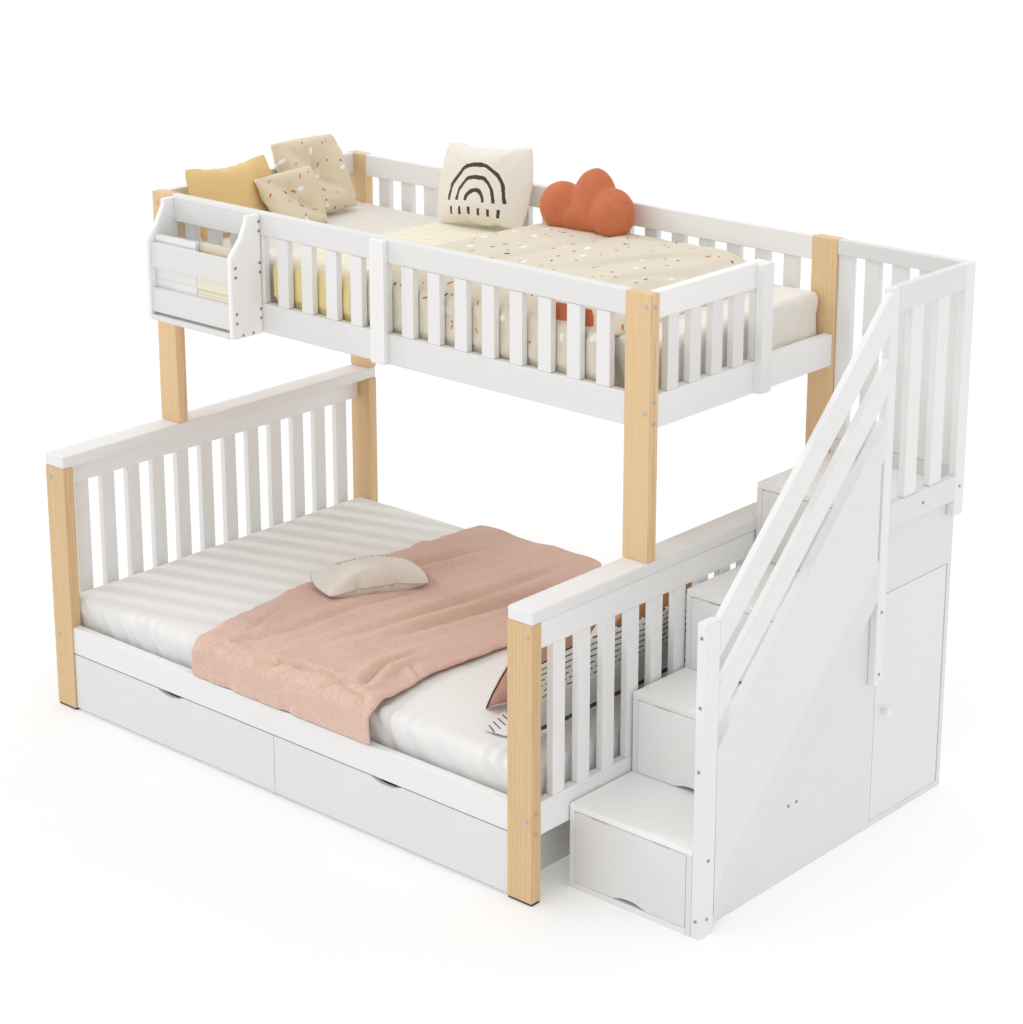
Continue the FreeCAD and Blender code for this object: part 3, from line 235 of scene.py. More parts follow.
def plain_board():
    sh = Shader("drawer_board", (0.8, 0.8, 0.78), 0.55)
    fine = sh.noise(sh.place(), 420.0, 2.0)
    broad = sh.noise(sh.place(), 3.0, 2.0)
    return sh.finish(sh.mix(broad, (0.77, 0.77, 0.75), (0.83, 0.83, 0.81)), None, sh.bump(fine, 0.08, 0.0005))


def steel(name="steel", share=1.0):
    sh = Shader(name, (0.62, 0.62, 0.63), 0.3, Metallic=1.0)
    fine = sh.noise(sh.place(), 900.0, 3.0)
    low, high = (tuple(share * c for c in tone) for tone in ((0.5, 0.5, 0.51), (0.72, 0.72, 0.73)))
    return sh.finish(sh.mix(fine, low, high), sh.math("MULTIPLY_ADD", fine, 0.25, 0.2))


def dark_plastic(name, low, high):
    sh = Shader(name, high, 0.6)
    fine = sh.noise(sh.place(), 500.0, 3.0)
    return sh.finish(sh.mix(fine, low, high), None, sh.bump(fine, 0.3, 0.0006))


# fabric materials
def cloth_bump(sh, vector, count, strength, after=None):
    """Two crossing sets of threads, count to the metre."""
    warp = sh.wave(vector, count / 20.0, 0.6, 1.0, "BANDS", "X")
    weft = sh.wave(vector, count / 20.0, 0.6, 1.0, "BANDS", "Y")
    return sh.bump(sh.math("MULTIPLY", warp, weft), strength, 0.0006, after)


def plain_cloth(name, low, high, count=900, crease=0.25):
    sh = Shader(name, high, 0.9, Sheen_Weight=0.2, Sheen_Roughness=0.5)
    place = sh.place("UV")
    both_ways = sh.math("ADD", sh.slub(40, 700), sh.slub(700, 40))
    broad = sh.noise(place, 5.0, 3.0)
    mixed = sh.math("MULTIPLY_ADD", both_ways, 0.35, sh.math("MULTIPLY", broad, 0.3))
    normal = cloth_bump(sh, place, count, 0.25, sh.creases(place, 16.0, crease))
    return sh.finish(sh.mix(mixed, low, high), None, normal)


def fleece(name, low, high):
    sh = Shader(name, high, 0.95, Sheen_Weight=0.35, Sheen_Roughness=0.4)
    place = sh.place("UV")
    pile = sh.noise(place, 300.0, 4.0, 0.7)
    tuft = sh.noise(place, 85.0, 4.0, 0.7, 0.6)
    patch = sh.noise(place, 7.0, 3.0, 0.5, 0.8)
    broad = sh.math("MULTIPLY_ADD", tuft, 0.55, sh.math("MULTIPLY", patch, 0.2))
    mixed = sh.math("ADD", sh.math("MULTIPLY", pile, 0.35), broad)
    normal = sh.bump(pile, 0.6, 0.0025, sh.bump(tuft, 0.8, 0.008))
    return sh.finish(sh.mix(mixed, low, high), None, normal)


def velvet(name, low, high):
    sh = Shader(name, high, 0.75, Sheen_Weight=0.55, Sheen_Roughness=0.35)
    sh.surface.inputs["Sheen Tint"].default_value = (1.0, 0.62, 0.45, 1)
    place = sh.place("Object")
    pile = sh.noise(place, 600.0, 3.0, 0.6)
    patch = sh.noise(place, 13.0, 3.0, 0.55, 0.7)
    mixed = sh.math("MULTIPLY_ADD", pile, 0.3, sh.math("MULTIPLY", patch, 0.6))
    return sh.finish(sh.mix(mixed, low, high), None, sh.bump(pile, 0.3, 0.001))


def printed(name, low, high, big=1.0, band=None):
    """Beige cotton with sparse dashes, dots and pale pebbles; plain and darker along a turned band if it has
    one, partly as painted shade, with a painted shade line at its fold.
    """
    sh = Shader(name, high, 0.9, Sheen_Weight=0.15, Sheen_Roughness=0.5)
    place = sh.place("UV")
    slub = sh.slub()
    colour = sh.mix(slub, low, high)
    wobble = sh.noise(place, 60.0, 2.0)
    pebble, _, reach = sh.flecks(place, 0.125 * big, (0.019 * big, 0.011 * big), 0.46, 0.13, True)
    shaped = sh.math("LESS_THAN", sh.math("ADD", reach, sh.math("MULTIPLY", wobble, 0.8)), 1.25)
    colour = sh.mix(sh.math("MULTIPLY", pebble, shaped), colour, (0.88, 0.875, 0.85))
    dash, chance, _ = sh.flecks(place, 0.078 * big, (0.0095 * big, 0.0033 * big), 0.5, 3.31)
    colour = sh.mix(dash, colour, sh.ramp(chance, (0.0, (0.62, 0.17, 0.045)), (0.46, (0.05, 0.045, 0.04)),
                                          (0.74, (0.55, 0.33, 0.13)), constant=True))
    dot, chance, _ = sh.flecks(place, 0.1 * big, (0.0056 * big, 0.0046 * big), 0.55, 7.77, True)
    colour = sh.mix(dot, colour, sh.ramp(chance, (0.0, (0.6, 0.16, 0.03)), (0.7, (0.08, 0.06, 0.05)),
                                         constant=True))
    if band:
        x, y, _ = sh.split(place)
        from_edge = sh.math("MULTIPLY_ADD", sh.math("MAXIMUM", y, 0.0), -band[1], x)
        # The band's unprinted cloth is darker, partly its own colour and partly painted shade
        plain = sh.mix(slub, tuple(0.9 * c for c in low), tuple(0.92 * c for c in high))
        colour = sh.mix(sh.math("LESS_THAN", from_edge, band[0]), colour, plain)
        # A painted shade line along the band's fold
        painted_shade = sh.band(from_edge, band[0] - 0.004, band[0] + 0.004)
        colour = sh.mix(painted_shade, colour, tuple(0.74 * c for c in low))
    return sh.finish(colour, None, cloth_bump(sh, place, 900, 0.2, sh.creases(place, 18.0)))


def checked():
    """Cream cotton with a thin yellow check, deeper yellow where it hangs."""
    sh = Shader("yellow_check", (0.88, 0.8, 0.5), 0.9, Sheen_Weight=0.15, Sheen_Roughness=0.5)
    place = sh.place("UV")
    x, y, _ = sh.split(place)
    slub = sh.slub()
    top = sh.mix(slub, (0.83, 0.785, 0.635), (0.88, 0.84, 0.71))
    fall = sh.mix(slub, (0.76, 0.6, 0.25), (0.84, 0.7, 0.34))
    hung = sh.node("ShaderNodeMapRange", {0: y, 1: 0.0, 2: -0.05, 3: 0.0, 4: 1.0}).outputs[0]
    colour = sh.mix(hung, top, fall)
    for value in (x, y):
        across = sh.math("PINGPONG", value, 0.029)
        colour = sh.mix(sh.math("LESS_THAN", across, 0.0015), colour, (0.80, 0.64, 0.24))
    return sh.finish(colour, None, cloth_bump(sh, place, 900, 0.2, sh.creases(place, 14.0)))


def quilted():
    """Mustard cotton, stitched in squares."""
    sh = Shader("yellow_quilt", (0.76, 0.48, 0.14), 0.9, Sheen_Weight=0.2, Sheen_Roughness=0.5)
    place = sh.place("UV")
    x, y, _ = sh.split(place)
    patch = sh.noise(place, 9.0, 3.0)
    mixed = sh.math("MULTIPLY_ADD", sh.slub(60, 500), 0.6, sh.math("MULTIPLY", patch, 0.4))
    colour = sh.mix(mixed, (0.75, 0.50, 0.2), (0.86, 0.625, 0.29))
    for value in (x, y):
        across = sh.math("PINGPONG", sh.math("ADD", value, 0.0792), 0.055)
        colour = sh.mix(sh.math("GREATER_THAN", across, 0.0542), colour, (0.735, 0.50, 0.205))
    return sh.finish(colour, None, cloth_bump(sh, place, 900, 0.25, sh.creases(place, 18.0)))


def brushed_linen():
    """Off-white linen with broad dark brush arcs and a row of short strokes."""
    sh = Shader("off_white_linen", (0.84, 0.79, 0.71), 0.9, Sheen_Weight=0.15, Sheen_Roughness=0.5)
    place = sh.place("UV")
    colour = sh.mix(sh.slub(), (0.8, 0.745, 0.66), (0.87, 0.825, 0.75))
    wander = sh.node("ShaderNodeTexNoise", {"Vector": place, "Scale": 22.0, "Detail": 2.0}).outputs["Color"]
    moved = sh.node("ShaderNodeVectorMath", {0: wander, 1: (0.5, 0.5, 0.5)}, operation="SUBTRACT").outputs[0]
    moved = sh.node("ShaderNodeVectorMath", {0: moved, "Scale": 0.016}, operation="SCALE").outputs[0]
    moved = sh.node("ShaderNodeVectorMath", {0: place, 1: moved}, operation="ADD").outputs[0]
    x, y, _ = sh.split(moved)
    strokes = sh.math("LESS_THAN", sh.math("PINGPONG", x, 0.022), 0.0062)
    row = sh.math("MULTIPLY", sh.band(y, 0.035, 0.064), sh.band(x, 0.06, 0.345))
    ink = sh.math("MULTIPLY", strokes, row)
    middle_x, foot_y, half_stroke = 0.2, 0.085, 0.0068
    dx, dy = sh.math("SUBTRACT", x, middle_x), sh.math("SUBTRACT", y, foot_y)
    reach = sh.distance(dx, dy)
    for radius in (0.128, 0.084, 0.04):
        arc = sh.math("LESS_THAN", sh.math("ABSOLUTE", sh.math("SUBTRACT", reach, radius)), half_stroke)
        ink = sh.math("MAXIMUM", ink, sh.math("MULTIPLY", arc, sh.math("GREATER_THAN", y, foot_y)))
    colour = sh.mix(ink, colour, (0.062, 0.05, 0.044))
    return sh.finish(colour, None, cloth_bump(sh, place, 620, 0.4))


def plain_linen():
    """Natural linen with visible slubs and a row of short dark strokes."""
    sh = Shader("natural_linen", (0.8, 0.76, 0.68), 0.92, Sheen_Weight=0.15, Sheen_Roughness=0.5)
    place = sh.place("UV")
    both_ways = sh.math("ADD", sh.slub(40, 560), sh.slub(560, 40))
    colour = sh.mix(sh.math("MULTIPLY", both_ways, 0.5), (0.70, 0.655, 0.58), (0.89, 0.855, 0.79))
    x, y, _ = sh.split(place)
    lean = sh.math("MULTIPLY_ADD", sh.math("PINGPONG", x, 0.03), 0.8, y)
    strokes = sh.math("LESS_THAN", sh.math("PINGPONG", lean, 0.009), 0.003)
    row = sh.math("MULTIPLY", sh.band(y, 0.16, 0.195), sh.band(x, 0.09, 0.31))
    colour = sh.mix(sh.math("MULTIPLY", strokes, row), colour, (0.09, 0.08, 0.075))
    return sh.finish(colour, None, cloth_bump(sh, place, 520, 0.6))


def foot_cloth():
    """A throw in bands: white with rows of dark dashes above, grey knit below, and a near-black band at its
    foot, just above the mattress.
    """
    sh = Shader("grey_knit", (0.45, 0.44, 0.43), 0.95, Sheen_Weight=0.2, Sheen_Roughness=0.5)
    place = sh.place("UV")
    x, y, _ = sh.split(place)
    height = sh.split(sh.place("Object"))[2]
    knit = sh.noise(sh.place("UV", (260, 90, 1)), 1.0, 3.0, 0.65)
    grey = sh.mix(knit, (0.5, 0.5, 0.5), (0.97, 0.96, 0.94))
    white = sh.mix(sh.slub(), (0.79, 0.78, 0.75), (0.87, 0.86, 0.83))
    rows = sh.math("LESS_THAN", sh.math("PINGPONG", y, 0.0125), 0.0029)
    broken = sh.math("LESS_THAN", sh.math("PINGPONG", x, 0.03), 0.024)
    white = sh.mix(sh.math("MULTIPLY", rows, broken), white, (0.04, 0.04, 0.04))
    colour = sh.mix(sh.math("LESS_THAN", height, KNIT_TOP_Z), white, grey)
    # near-black from the throw's foot up to a little above the mattress top
    colour = sh.mix(sh.math("LESS_THAN", height, DARK_BAND_TOP_Z), colour, (0.06, 0.06, 0.06))
    return sh.finish(colour, None, sh.bump(knit, 0.6, 0.002))


def book_cover(name, low, high, bands):
    """Plain covered board with soft bands across it."""
    sh = Shader(name, high, 0.6)
    fine = sh.noise(sh.place(), 700.0, 2.0)
    colour = sh.mix(fine, low, high)
    height = sh.split(sh.place())[2]
    for level, half, tint in bands:
        colour = sh.mix(sh.band(height, level - half, level + half), colour, tint)
    return sh.finish(colour, None, sh.bump(fine, 0.15, 0.0004))


def paper():
    sh = Shader("book_pages", (0.86, 0.84, 0.78), 0.8)
    leaves = sh.wave(sh.place(), 700.0, 0.4, 1.0, "BANDS", "Y")
    return sh.finish(sh.mix(leaves, (0.7, 0.68, 0.62), (0.9, 0.88, 0.83)), None, sh.bump(leaves, 0.4, 0.0004))


# boards: CAD nodes get their materials and softened edges
grain_ways = {
    "z": ("headboard_slats", "footboard_slats", "upper_guard_slats", "upper_guard_battens", "newel_post",
          "landing_guard_stiles", "landing_guard_slats", "caddy_sides", "wardrobe_door", "wardrobe_knob"),
    "x": ("lower_side_rails", "upper_front_rails", "upper_back_rails", "caddy_boards", "stair_treads",
          "stair_inner_boards", "step_flap_one", "step_flap_two", "step_flap_three", "step_flap_four",
          "left_drawer_front", "right_drawer_front"),
    "y": ("end_caps", "end_board_rails", "upper_head_rails", "upper_foot_rails", "landing_guard_rails",
          "stair_side_left", "stair_side_right", "stair_guard_rails", "stair_guard_panel", "stair_stringer"),
}
# Boards whose white paint is darkened as painted shade (deep, mid) or lightened as painted light (pale,
# palest)
boards_by_painted_light = {
    "deep": ("step_flap_one", "left_drawer_front", "right_drawer_front", "caddy_boards", "stair_side_right",
             "stair_stringer", "landing_guard_rails"),
    "mid": ("wardrobe_door", "upper_front_rails", "stair_guard_panel"),
    "pale": ("step_flap_three", "end_board_rails", "footboard_slats", "upper_guard_battens",
             "upper_back_rails"),
    "palest": ("stair_treads", "step_flap_two", "caddy_sides", "upper_foot_rails"),
}
painted_light_of_board = {name: painted_shade for painted_shade, names in boards_by_painted_light.items() for name in names}
board_materials, lit_and_shaded_paints = {}, {}
for way, names in grain_ways.items():
    for name in names:
        painted_shade = painted_light_of_board.get(name, "plain")
        if (way, painted_shade) not in lit_and_shaded_paints:
            lit_and_shaded_paints[way, painted_shade] = white_paint(way, painted_shade)
        board_materials[name] = lit_and_shaded_paints[way, painted_shade]
pine_x, pine_y = pine("x"), pine("y")
# The lower posts' pine is darkened as painted shade, the upper posts' lightened as painted light
board_materials.update({"lower_posts": pine("z", 0.94), "upper_posts": pine("z", 1.05),
                        "bed_ledgers": pine_x, "centre_beam": pine_x,
                        "lower_bed_slats": pine_y, "upper_bed_slats": pine_y})
drawer_paint, metal = plain_board(), steel()
glide = dark_plastic("dark_felt", (0.012, 0.012, 0.012), (0.05, 0.048, 0.045))
wheel = dark_plastic("wheel_grey", (0.14, 0.14, 0.145), (0.26, 0.26, 0.265))
board_materials.update({"left_drawer_box": drawer_paint, "right_drawer_box": drawer_paint,
                        "post_glides": glide, "hinge_pins": metal, "frame_bolts": metal,
                        "panel_screws": steel("dark_steel", 0.55)})
for side in ("left", "right"):
    for row in ("front", "back"):
        board_materials["%s_drawer_%s_wheels" % (side, row)] = wheel

boards_by_edge = {
    0.0002: ("hinge_pins",),
    0.0006: ("frame_bolts",),
    0.0007: ("panel_screws",),
    0.0008: ("post_glides",),
    0.001: ("step_flap_one", "step_flap_two", "step_flap_three", "step_flap_four", "stair_inner_boards",
            "left_drawer_box", "right_drawer_box"),
    0.0012: ("wardrobe_door", "stair_side_left", "stair_side_right"),
    0.0014: ("left_drawer_front", "right_drawer_front"),
    0.0022: ("stair_treads",),
    0.003: ("wardrobe_knob",),
    0.004: ("lower_posts", "upper_posts"),
    0.006: ("end_caps", "caddy_sides", "upper_front_rails", "upper_guard_battens"),
}
edge_widths = {name: width for width, names in boards_by_edge.items() for name in names}
default_edge = 0.0035


def soften(obj, width):
    """Round the sharp edges a little, without touching the mesh itself."""
    weld = obj.modifiers.new("weld", "WELD")
    weld.merge_threshold = MERGE_DISTANCE
    bevel = obj.modifiers.new("edge", "BEVEL")
    bevel.width = width
    bevel.segments = 3
    bevel.limit_method = "ANGLE"
    bevel.angle_limit = math.radians(35)
    bevel.use_clamp_overlap = True
    normal = obj.modifiers.new("normal", "WEIGHTED_NORMAL")
    normal.weight = 50
    normal.keep_sharp = False


def dress(obj, material):
    obj.data.materials.clear()
    obj.data.materials.append(material)


def declare(obj, node):
    """Say that obj rides on the frame and takes the place of a CAD node."""
    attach(obj, "frame")
    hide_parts(node)


for name, material in board_materials.items():
    dress(nodes[name], material)
    soften(nodes[name], edge_widths.get(name, default_edge))


# mesh helpers
def mesh_object(name, points, faces, uvs):
    """A smooth mesh; uvs gives one flat cloth place to each point."""
    mesh = bpy.data.meshes.new(name)
    mesh.from_pydata([tuple(p) for p in points], [], [tuple(f) for f in faces])
    layer = mesh.uv_layers.new(name="cloth")
    corner_points = np.zeros(len(mesh.loops), np.int32)
    mesh.loops.foreach_get("vertex_index", corner_points)
    layer.data.foreach_set("uv", np.asarray(uvs, np.float32)[corner_points].ravel())
    mesh.polygons.foreach_set("use_smooth", np.ones(len(mesh.polygons), bool))
    mesh.update()
    obj = bpy.data.objects.new(name, mesh)
    scene.collection.objects.link(obj)
    return obj


def points_of(obj):
    co = np.zeros(len(obj.data.vertices) * 3, np.float32)
    obj.data.vertices.foreach_get("co", co)
    return co.reshape(-1, 3).astype(float)


def set_points(obj, co):
    obj.data.vertices.foreach_set("co", np.asarray(co, np.float32).ravel())
    obj.data.update()


def normals_of(obj):
    value = np.zeros(len(obj.data.vertices) * 3, np.float32)
    obj.data.vertices.foreach_get("normal", value)
    return value.reshape(-1, 3).astype(float)


def noise_at(points, scale, seed=0.0):
    """Smooth noise from -1 to 1 at each row of points."""
    moved = np.asarray(points) * np.array(scale) + seed * np.array([1.0, -1.0, 0.5])
    return np.array([noise.noise(Vector(place)) for place in moved])


def smooth_step(value, low, high):
    t = np.clip((value - low) / (high - low), 0, 1)
    return t * t * (3 - 2 * t)


def subdivide(obj):
    modifier = obj.modifiers.new("smooth", "SUBSURF")
    modifier.levels = 1
    modifier.render_levels = 1


def grid_faces(columns, rows, flip=False):
    faces = []
    for j in range(rows):
        for i in range(columns):
            a = j * (columns + 1) + i
            quad = (a, a + 1, a + columns + 2, a + columns + 1)
            faces.append(quad[::-1] if flip else quad)
    return faces


def island_boxes(node):
    """The box of each closed solid of a CAD node, in the order of its meshes' points."""
    made = bmesh.new()
    made.from_mesh(nodes[node].data)
    bmesh.ops.remove_doubles(made, verts=made.verts, dist=MERGE_DISTANCE)
    made.verts.ensure_lookup_table()
    seen, boxes = set(), []
    for start in made.verts:
        if start.index in seen:
            continue
        stack, members = [start], []
        seen.add(start.index)
        while stack:
            vert = stack.pop()
            members.append(vert.co.copy())
            for edge in vert.link_edges:
                other = edge.other_vert(vert)
                if other.index not in seen:
                    seen.add(other.index)
                    stack.append(other)
        co = np.array(members)
        boxes.append((co.min(0), co.max(0)))
    made.free()
    return boxes


# cloth simulation
def live_points(obj):
    shown = obj.evaluated_get(bpy.context.evaluated_depsgraph_get()).data
    co = np.zeros(len(shown.vertices) * 3, np.float32)
    shown.vertices.foreach_get("co", co)
    return co.reshape(-1, 3)


def bake_cloth(obj, frames, pressure, bending, pins=None, reach=None):
    """Blow obj up as cloth and keep the shape, at the latest when it is reach thick."""
    modifier = obj.modifiers.new("cloth", "CLOTH")
    settings = modifier.settings
    settings.quality = 5
    settings.mass = 0.2
    settings.air_damping = 2.0
    settings.tension_stiffness = CLOTH_STIFFNESS
    settings.compression_stiffness = CLOTH_STIFFNESS
    settings.shear_stiffness = CLOTH_STIFFNESS * SHEAR_SHARE
    settings.bending_stiffness = bending
    settings.effector_weights.gravity = 0.0
    settings.use_pressure = True
    settings.uniform_pressure_force = pressure
    if pins is not None:
        group = obj.vertex_groups.new(name="pins")
        group.add([int(i) for i in pins], 1.0, "REPLACE")
        settings.vertex_group_mass = "pins"
        settings.pin_stiffness = 2.0
    modifier.collision_settings.use_collision = False
    modifier.collision_settings.use_self_collision = False
    modifier.point_cache.frame_start = 1
    modifier.point_cache.frame_end = frames
    for frame_number in range(1, frames + 1):
        scene.frame_set(frame_number)
        if reach is not None and np.ptp(live_points(obj)[:, 1]) >= reach:
            break
    settled = bpy.data.meshes.new_from_object(obj.evaluated_get(bpy.context.evaluated_depsgraph_get()))
    old = obj.data
    obj.modifiers.clear()
    obj.data = settled
    bpy.data.meshes.remove(old)
    obj.vertex_groups.clear()
    scene.frame_set(1)


def relax(obj, rounds, held=()):
    """Even out a mesh: each point moves towards the middle of its neighbours, the held ones less."""
    ends = np.zeros(len(obj.data.edges) * 2, np.int32)
    obj.data.edges.foreach_get("vertices", ends)
    first, second = ends[::2], ends[1::2]
    co = points_of(obj)
    count = np.bincount(first, minlength=len(co)) + np.bincount(second, minlength=len(co))
    weight = np.full(len(co), 0.5)
    weight[list(held)] *= 0.4
    for _ in range(rounds):
        total = np.zeros_like(co)
        np.add.at(total, first, co[second])
        np.add.at(total, second, co[first])
        co += (total / count[:, None] - co) * weight[:, None]
    set_points(obj, co)


def pillow_shell(name, width, height, cell, barrel):
    """Two flat layers in X and Z, sewn round the edge, with rounded sides that stay full when blown up."""
    nx, nz = max(8, round(width / cell)), max(8, round(height / cell))
    front = []
    for b in np.linspace(-1, 1, nz + 1):
        for a in np.linspace(-1, 1, nx + 1):
            x = width / 2 * a * (1 + barrel * (1 - b * b))
            z = height / 2 * b * (1 + barrel * (1 - a * a))
            front.append((x, -SHELL_GAP, z))
    index_back, points = {}, list(front)
    for j in range(nz + 1):
        for i in range(nx + 1):
            k = j * (nx + 1) + i
            x, _, z = front[k]
            if i in (0, nx) or j in (0, nz):
                index_back[k] = k
                points[k] = (x, 0.0, z)
            else:
                index_back[k] = len(points)
                points.append((x, SHELL_GAP, z))
    faces = grid_faces(nx, nz)
    faces += [tuple(index_back[k] for k in face[::-1]) for face in grid_faces(nx, nz)]
    uvs = [(p[0] + width / 2, p[2] + height / 2) for p in points]
    obj = mesh_object(name, points, faces, uvs)
    rim = [k for k in range(len(front)) if index_back[k] == k]
    order = sorted(rim, key=lambda k: math.atan2(points[k][2] / height, points[k][0] / width))
    return obj, order


def turned(angles):
    lean, heading, roll = (math.radians(a) for a in angles)
    return Matrix.Rotation(heading, 4, "Z") @ Matrix.Rotation(-lean, 4, "X") @ Matrix.Rotation(roll, 4, "Y")


def fit(obj, size):
    """Scale a shape about its middle to a given size along each axis."""
    co = points_of(obj)
    low, high = co.min(0), co.max(0)
    set_points(obj, (co - (low + high) / 2) * (np.array(size) / np.maximum(high - low, 1e-6)))


def rest_on(obj, level):
    """Let a cushion lie flat on what carries it."""
    co = points_of(obj)
    depth = np.maximum(level - co[:, 2], 0)
    co[:, 2] = np.where(depth > 0, level + depth * 0.04, co[:, 2])
    set_points(obj, co)


def cloth_places(obj):
    """Each point's place on the flat cloth."""
    flat = np.zeros((len(obj.data.vertices), 2))
    layer = obj.data.uv_layers[0]
    for loop in obj.data.loops:
        flat[loop.vertex_index] = layer.data[loop.index].uv
    return flat


def cushion(name, size, centre, angles, material, pressure=5.0, tuft=0.0, quilt=0.0, floor=None,
            bending=0.5, cell=0.0085, barrel=0.1, shift=(0, 0, 0)):
    """A sewn and stuffed cushion, blown up by simulation, set at its place."""
    width, thickness, height = size
    obj, rim = pillow_shell(name, width, height, cell, barrel)
    co = points_of(obj)
    pins = None
    if tuft:
        near = np.hypot(co[:, 0], co[:, 2])
        pins = np.nonzero(near < cell * 1.1)[0]
        co[pins, 1] = np.sign(co[pins, 1]) * tuft * thickness / 2
        set_points(obj, co)
    bake_cloth(obj, CUSHION_FRAMES, pressure, bending, pins, thickness)
    relax(obj, 3, held=rim)
    co, out = points_of(obj), normals_of(obj)
    crumple = 0.0022 * noise_at(co, (17.0, 17.0, 17.0), width * 40)
    crumple += 0.0012 * noise_at(co, (41.0, 41.0, 41.0), height * 40)
    if tuft:
        near, turn = np.hypot(co[:, 0], co[:, 2]), np.arctan2(co[:, 2], co[:, 0])
        spoke = np.clip(np.cos(2.5 * turn + 6 * height + 2.0 * near / width), 0, 1) ** 6
        crumple -= 0.006 * spoke * np.exp(-((near - 0.03) / 0.042) ** 2)
    set_points(obj, co + out * (crumple * min(1.0, thickness / 0.08))[:, None])
    if quilt:
        flat = cloth_places(obj)
        groove = np.zeros(len(co))
        for axis in (0, 1):
            across = np.abs((flat[:, axis] + quilt * 0.72) % quilt - quilt / 2)
            groove = np.maximum(groove, np.exp(-(across / 0.008) ** 2))
        set_points(obj, points_of(obj) - normals_of(obj) * (groove * 0.0016)[:, None])
    fit(obj, (width, thickness, height))
    obj.data.transform(Matrix.Translation(Vector(centre) + Vector(shift)) @ turned(angles))
    if floor is not None:
        rest_on(obj, floor)
    dress(obj, material)
    subdivide(obj)
    return obj, rim


def welt(name, obj, rim, radius, material):
    """A round welt sewn along a cushion's seam."""
    co = points_of(obj)
    curve = bpy.data.curves.new(name, "CURVE")
    curve.dimensions = "3D"
    curve.bevel_depth = radius
    curve.bevel_resolution = 3
    spline = curve.splines.new("POLY")
    spline.points.add(len(rim) - 1)
    for point, k in zip(spline.points, rim):
        point.co = (*co[k], 1)
    spline.use_cyclic_u = True
    made = bpy.data.objects.new(name, curve)
    scene.collection.objects.link(made)
    made.data.materials.append(material)
    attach(made, "frame")


# mattresses with fitted sheets
def rounded_box(name, low, high, radius, cell):
    """A closed box of quads with round edges, its cloth places laid from the top down its sides."""
    low, high = np.array(low), np.array(high)
    size, middle = high - low, (high + low) / 2
    counts = [max(6, round(s / cell)) for s in size]
    order, faces = {}, []
    for axis in (2, 1, 0):
        first, second = (other for other in range(3) if other != axis)
        for level, flip in ((0, axis != 1), (counts[axis], axis == 1)):
            for i in range(counts[first]):
                for j in range(counts[second]):
                    quad = []
                    for step, rise in ((0, 0), (1, 0), (1, 1), (0, 1)):
                        key = [level] * 3
                        key[first], key[second] = i + step, j + rise
                        quad.append(order.setdefault(tuple(key), len(order)))
                    faces.append(quad[::-1] if flip else quad)
    # places are rounded to single precision, as the mesh keeps them
    flat = (low + size * (np.array(list(order)) / np.array(counts))).astype(np.float32).astype(float)
    core = np.clip(flat, low + radius, high - radius)
    away = flat - core
    length = np.maximum(np.linalg.norm(away, axis=1), 1e-9)
    co = core + away / length[:, None] * np.minimum(length, radius)[:, None]
    drop = (high[2] - flat[:, 2])[:, None]
    on_side = np.abs(away[:, :2]) > 1e-6
    uvs = flat[:, :2] + np.sign(flat[:, :2] - middle[:2]) * drop * on_side
    return mesh_object(name, co, faces, uvs)


def sheeted_mattress(node, material, radius, crown, bulge, seed, pucker):
    """A mattress in a fitted sheet: crowned, with gathers down its sides and slack at its edges."""
    low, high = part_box(node)
    low, high = np.array(low), np.array(high)
    name = node.replace("_mattress", "_bed_sheet")
    inset, cell = 0.002, 0.0105
    obj = rounded_box(name, low + inset, high - np.array([inset, inset, crown]), radius, cell)
    co = points_of(obj)
    out = normals_of(obj)
    middle, half = (low + high) / 2, (high - low) / 2
    top = smooth_step(out[:, 2], 0.35, 0.9)
    side = smooth_step(1 - np.abs(out[:, 2]), 0.3, 0.9)
    run = 1 - np.abs((co[:, :2] - middle[:2]) / half[:2]) ** 4
    co[:, 2] += crown * 0.8 * top * np.clip(run[:, 0] * run[:, 1], 0, 1)
    slow = noise_at(co, (1.6, 1.6, 1.6), seed)
    pull = noise_at(co, (9.0, 2.4, 3.0), seed + 3.1) * 0.5 + noise_at(co, (3.0, 9.0, 3.0), seed + 5.2) * 0.5
    edge = np.maximum(smooth_step(np.abs(co[:, 1] - middle[1]) / half[1], 0.86, 1.0),
                      smooth_step(np.abs(co[:, 0] - middle[0]) / half[0], 0.9, 1.0))
    lean = np.stack([co[:, 0] + 0.5 * co[:, 2], co[:, 1], co[:, 2]], 1)
    gather = noise_at(lean, (19.0, 19.0, 3.0), seed + 9.0)
    fine = noise_at(lean, (46.0, 46.0, 7.0), seed + 2.0)
    crimp = noise_at(lean, (30.0, 7.0, 4.0), seed + 6.0)
    crimp *= smooth_step(middle[1] - co[:, 1], half[1] * 0.9, half[1])
    push = -0.0016 + 0.0016 * slow * top + (0.004 * pull * edge + 0.004 * np.minimum(crimp, 0.1)) * top
    push += (0.010 * np.minimum(gather, 0.2) + 0.003 * np.minimum(fine, 0.3)) * side
    co += out * push[:, None]
    wave = np.sin((co[:, 0] + 0.55 * co[:, 2]) / 0.0088 + 5.0 * noise_at(co, (5.0, 5.0, 5.0), seed + 8.0))
    patch = smooth_step(noise_at(co, (3.2, 0.0, 0.0), seed + 7.0), -0.35, 0.2)
    near_edge = np.exp(-((co[:, 1] - low[1]) / 0.05) ** 2)
    near_edge *= np.exp(-((co[:, 2] - high[2] + 0.02) / 0.055) ** 2)
    co += out * (pucker * wave * patch * near_edge)[:, None]
    front = smooth_step(-out[:, 1], 0.4, 0.9)
    rise = (co[:, 2] - low[2]) / (high[2] - low[2])
    co[:, 1] -= bulge * front * np.exp(-((rise - 0.74) / 0.24) ** 2) * (0.8 + 0.35 * gather)
    co[:, 2] = np.minimum(co[:, 2], high[2])
    set_points(obj, co)
    dress(obj, material)
    declare(obj, node)


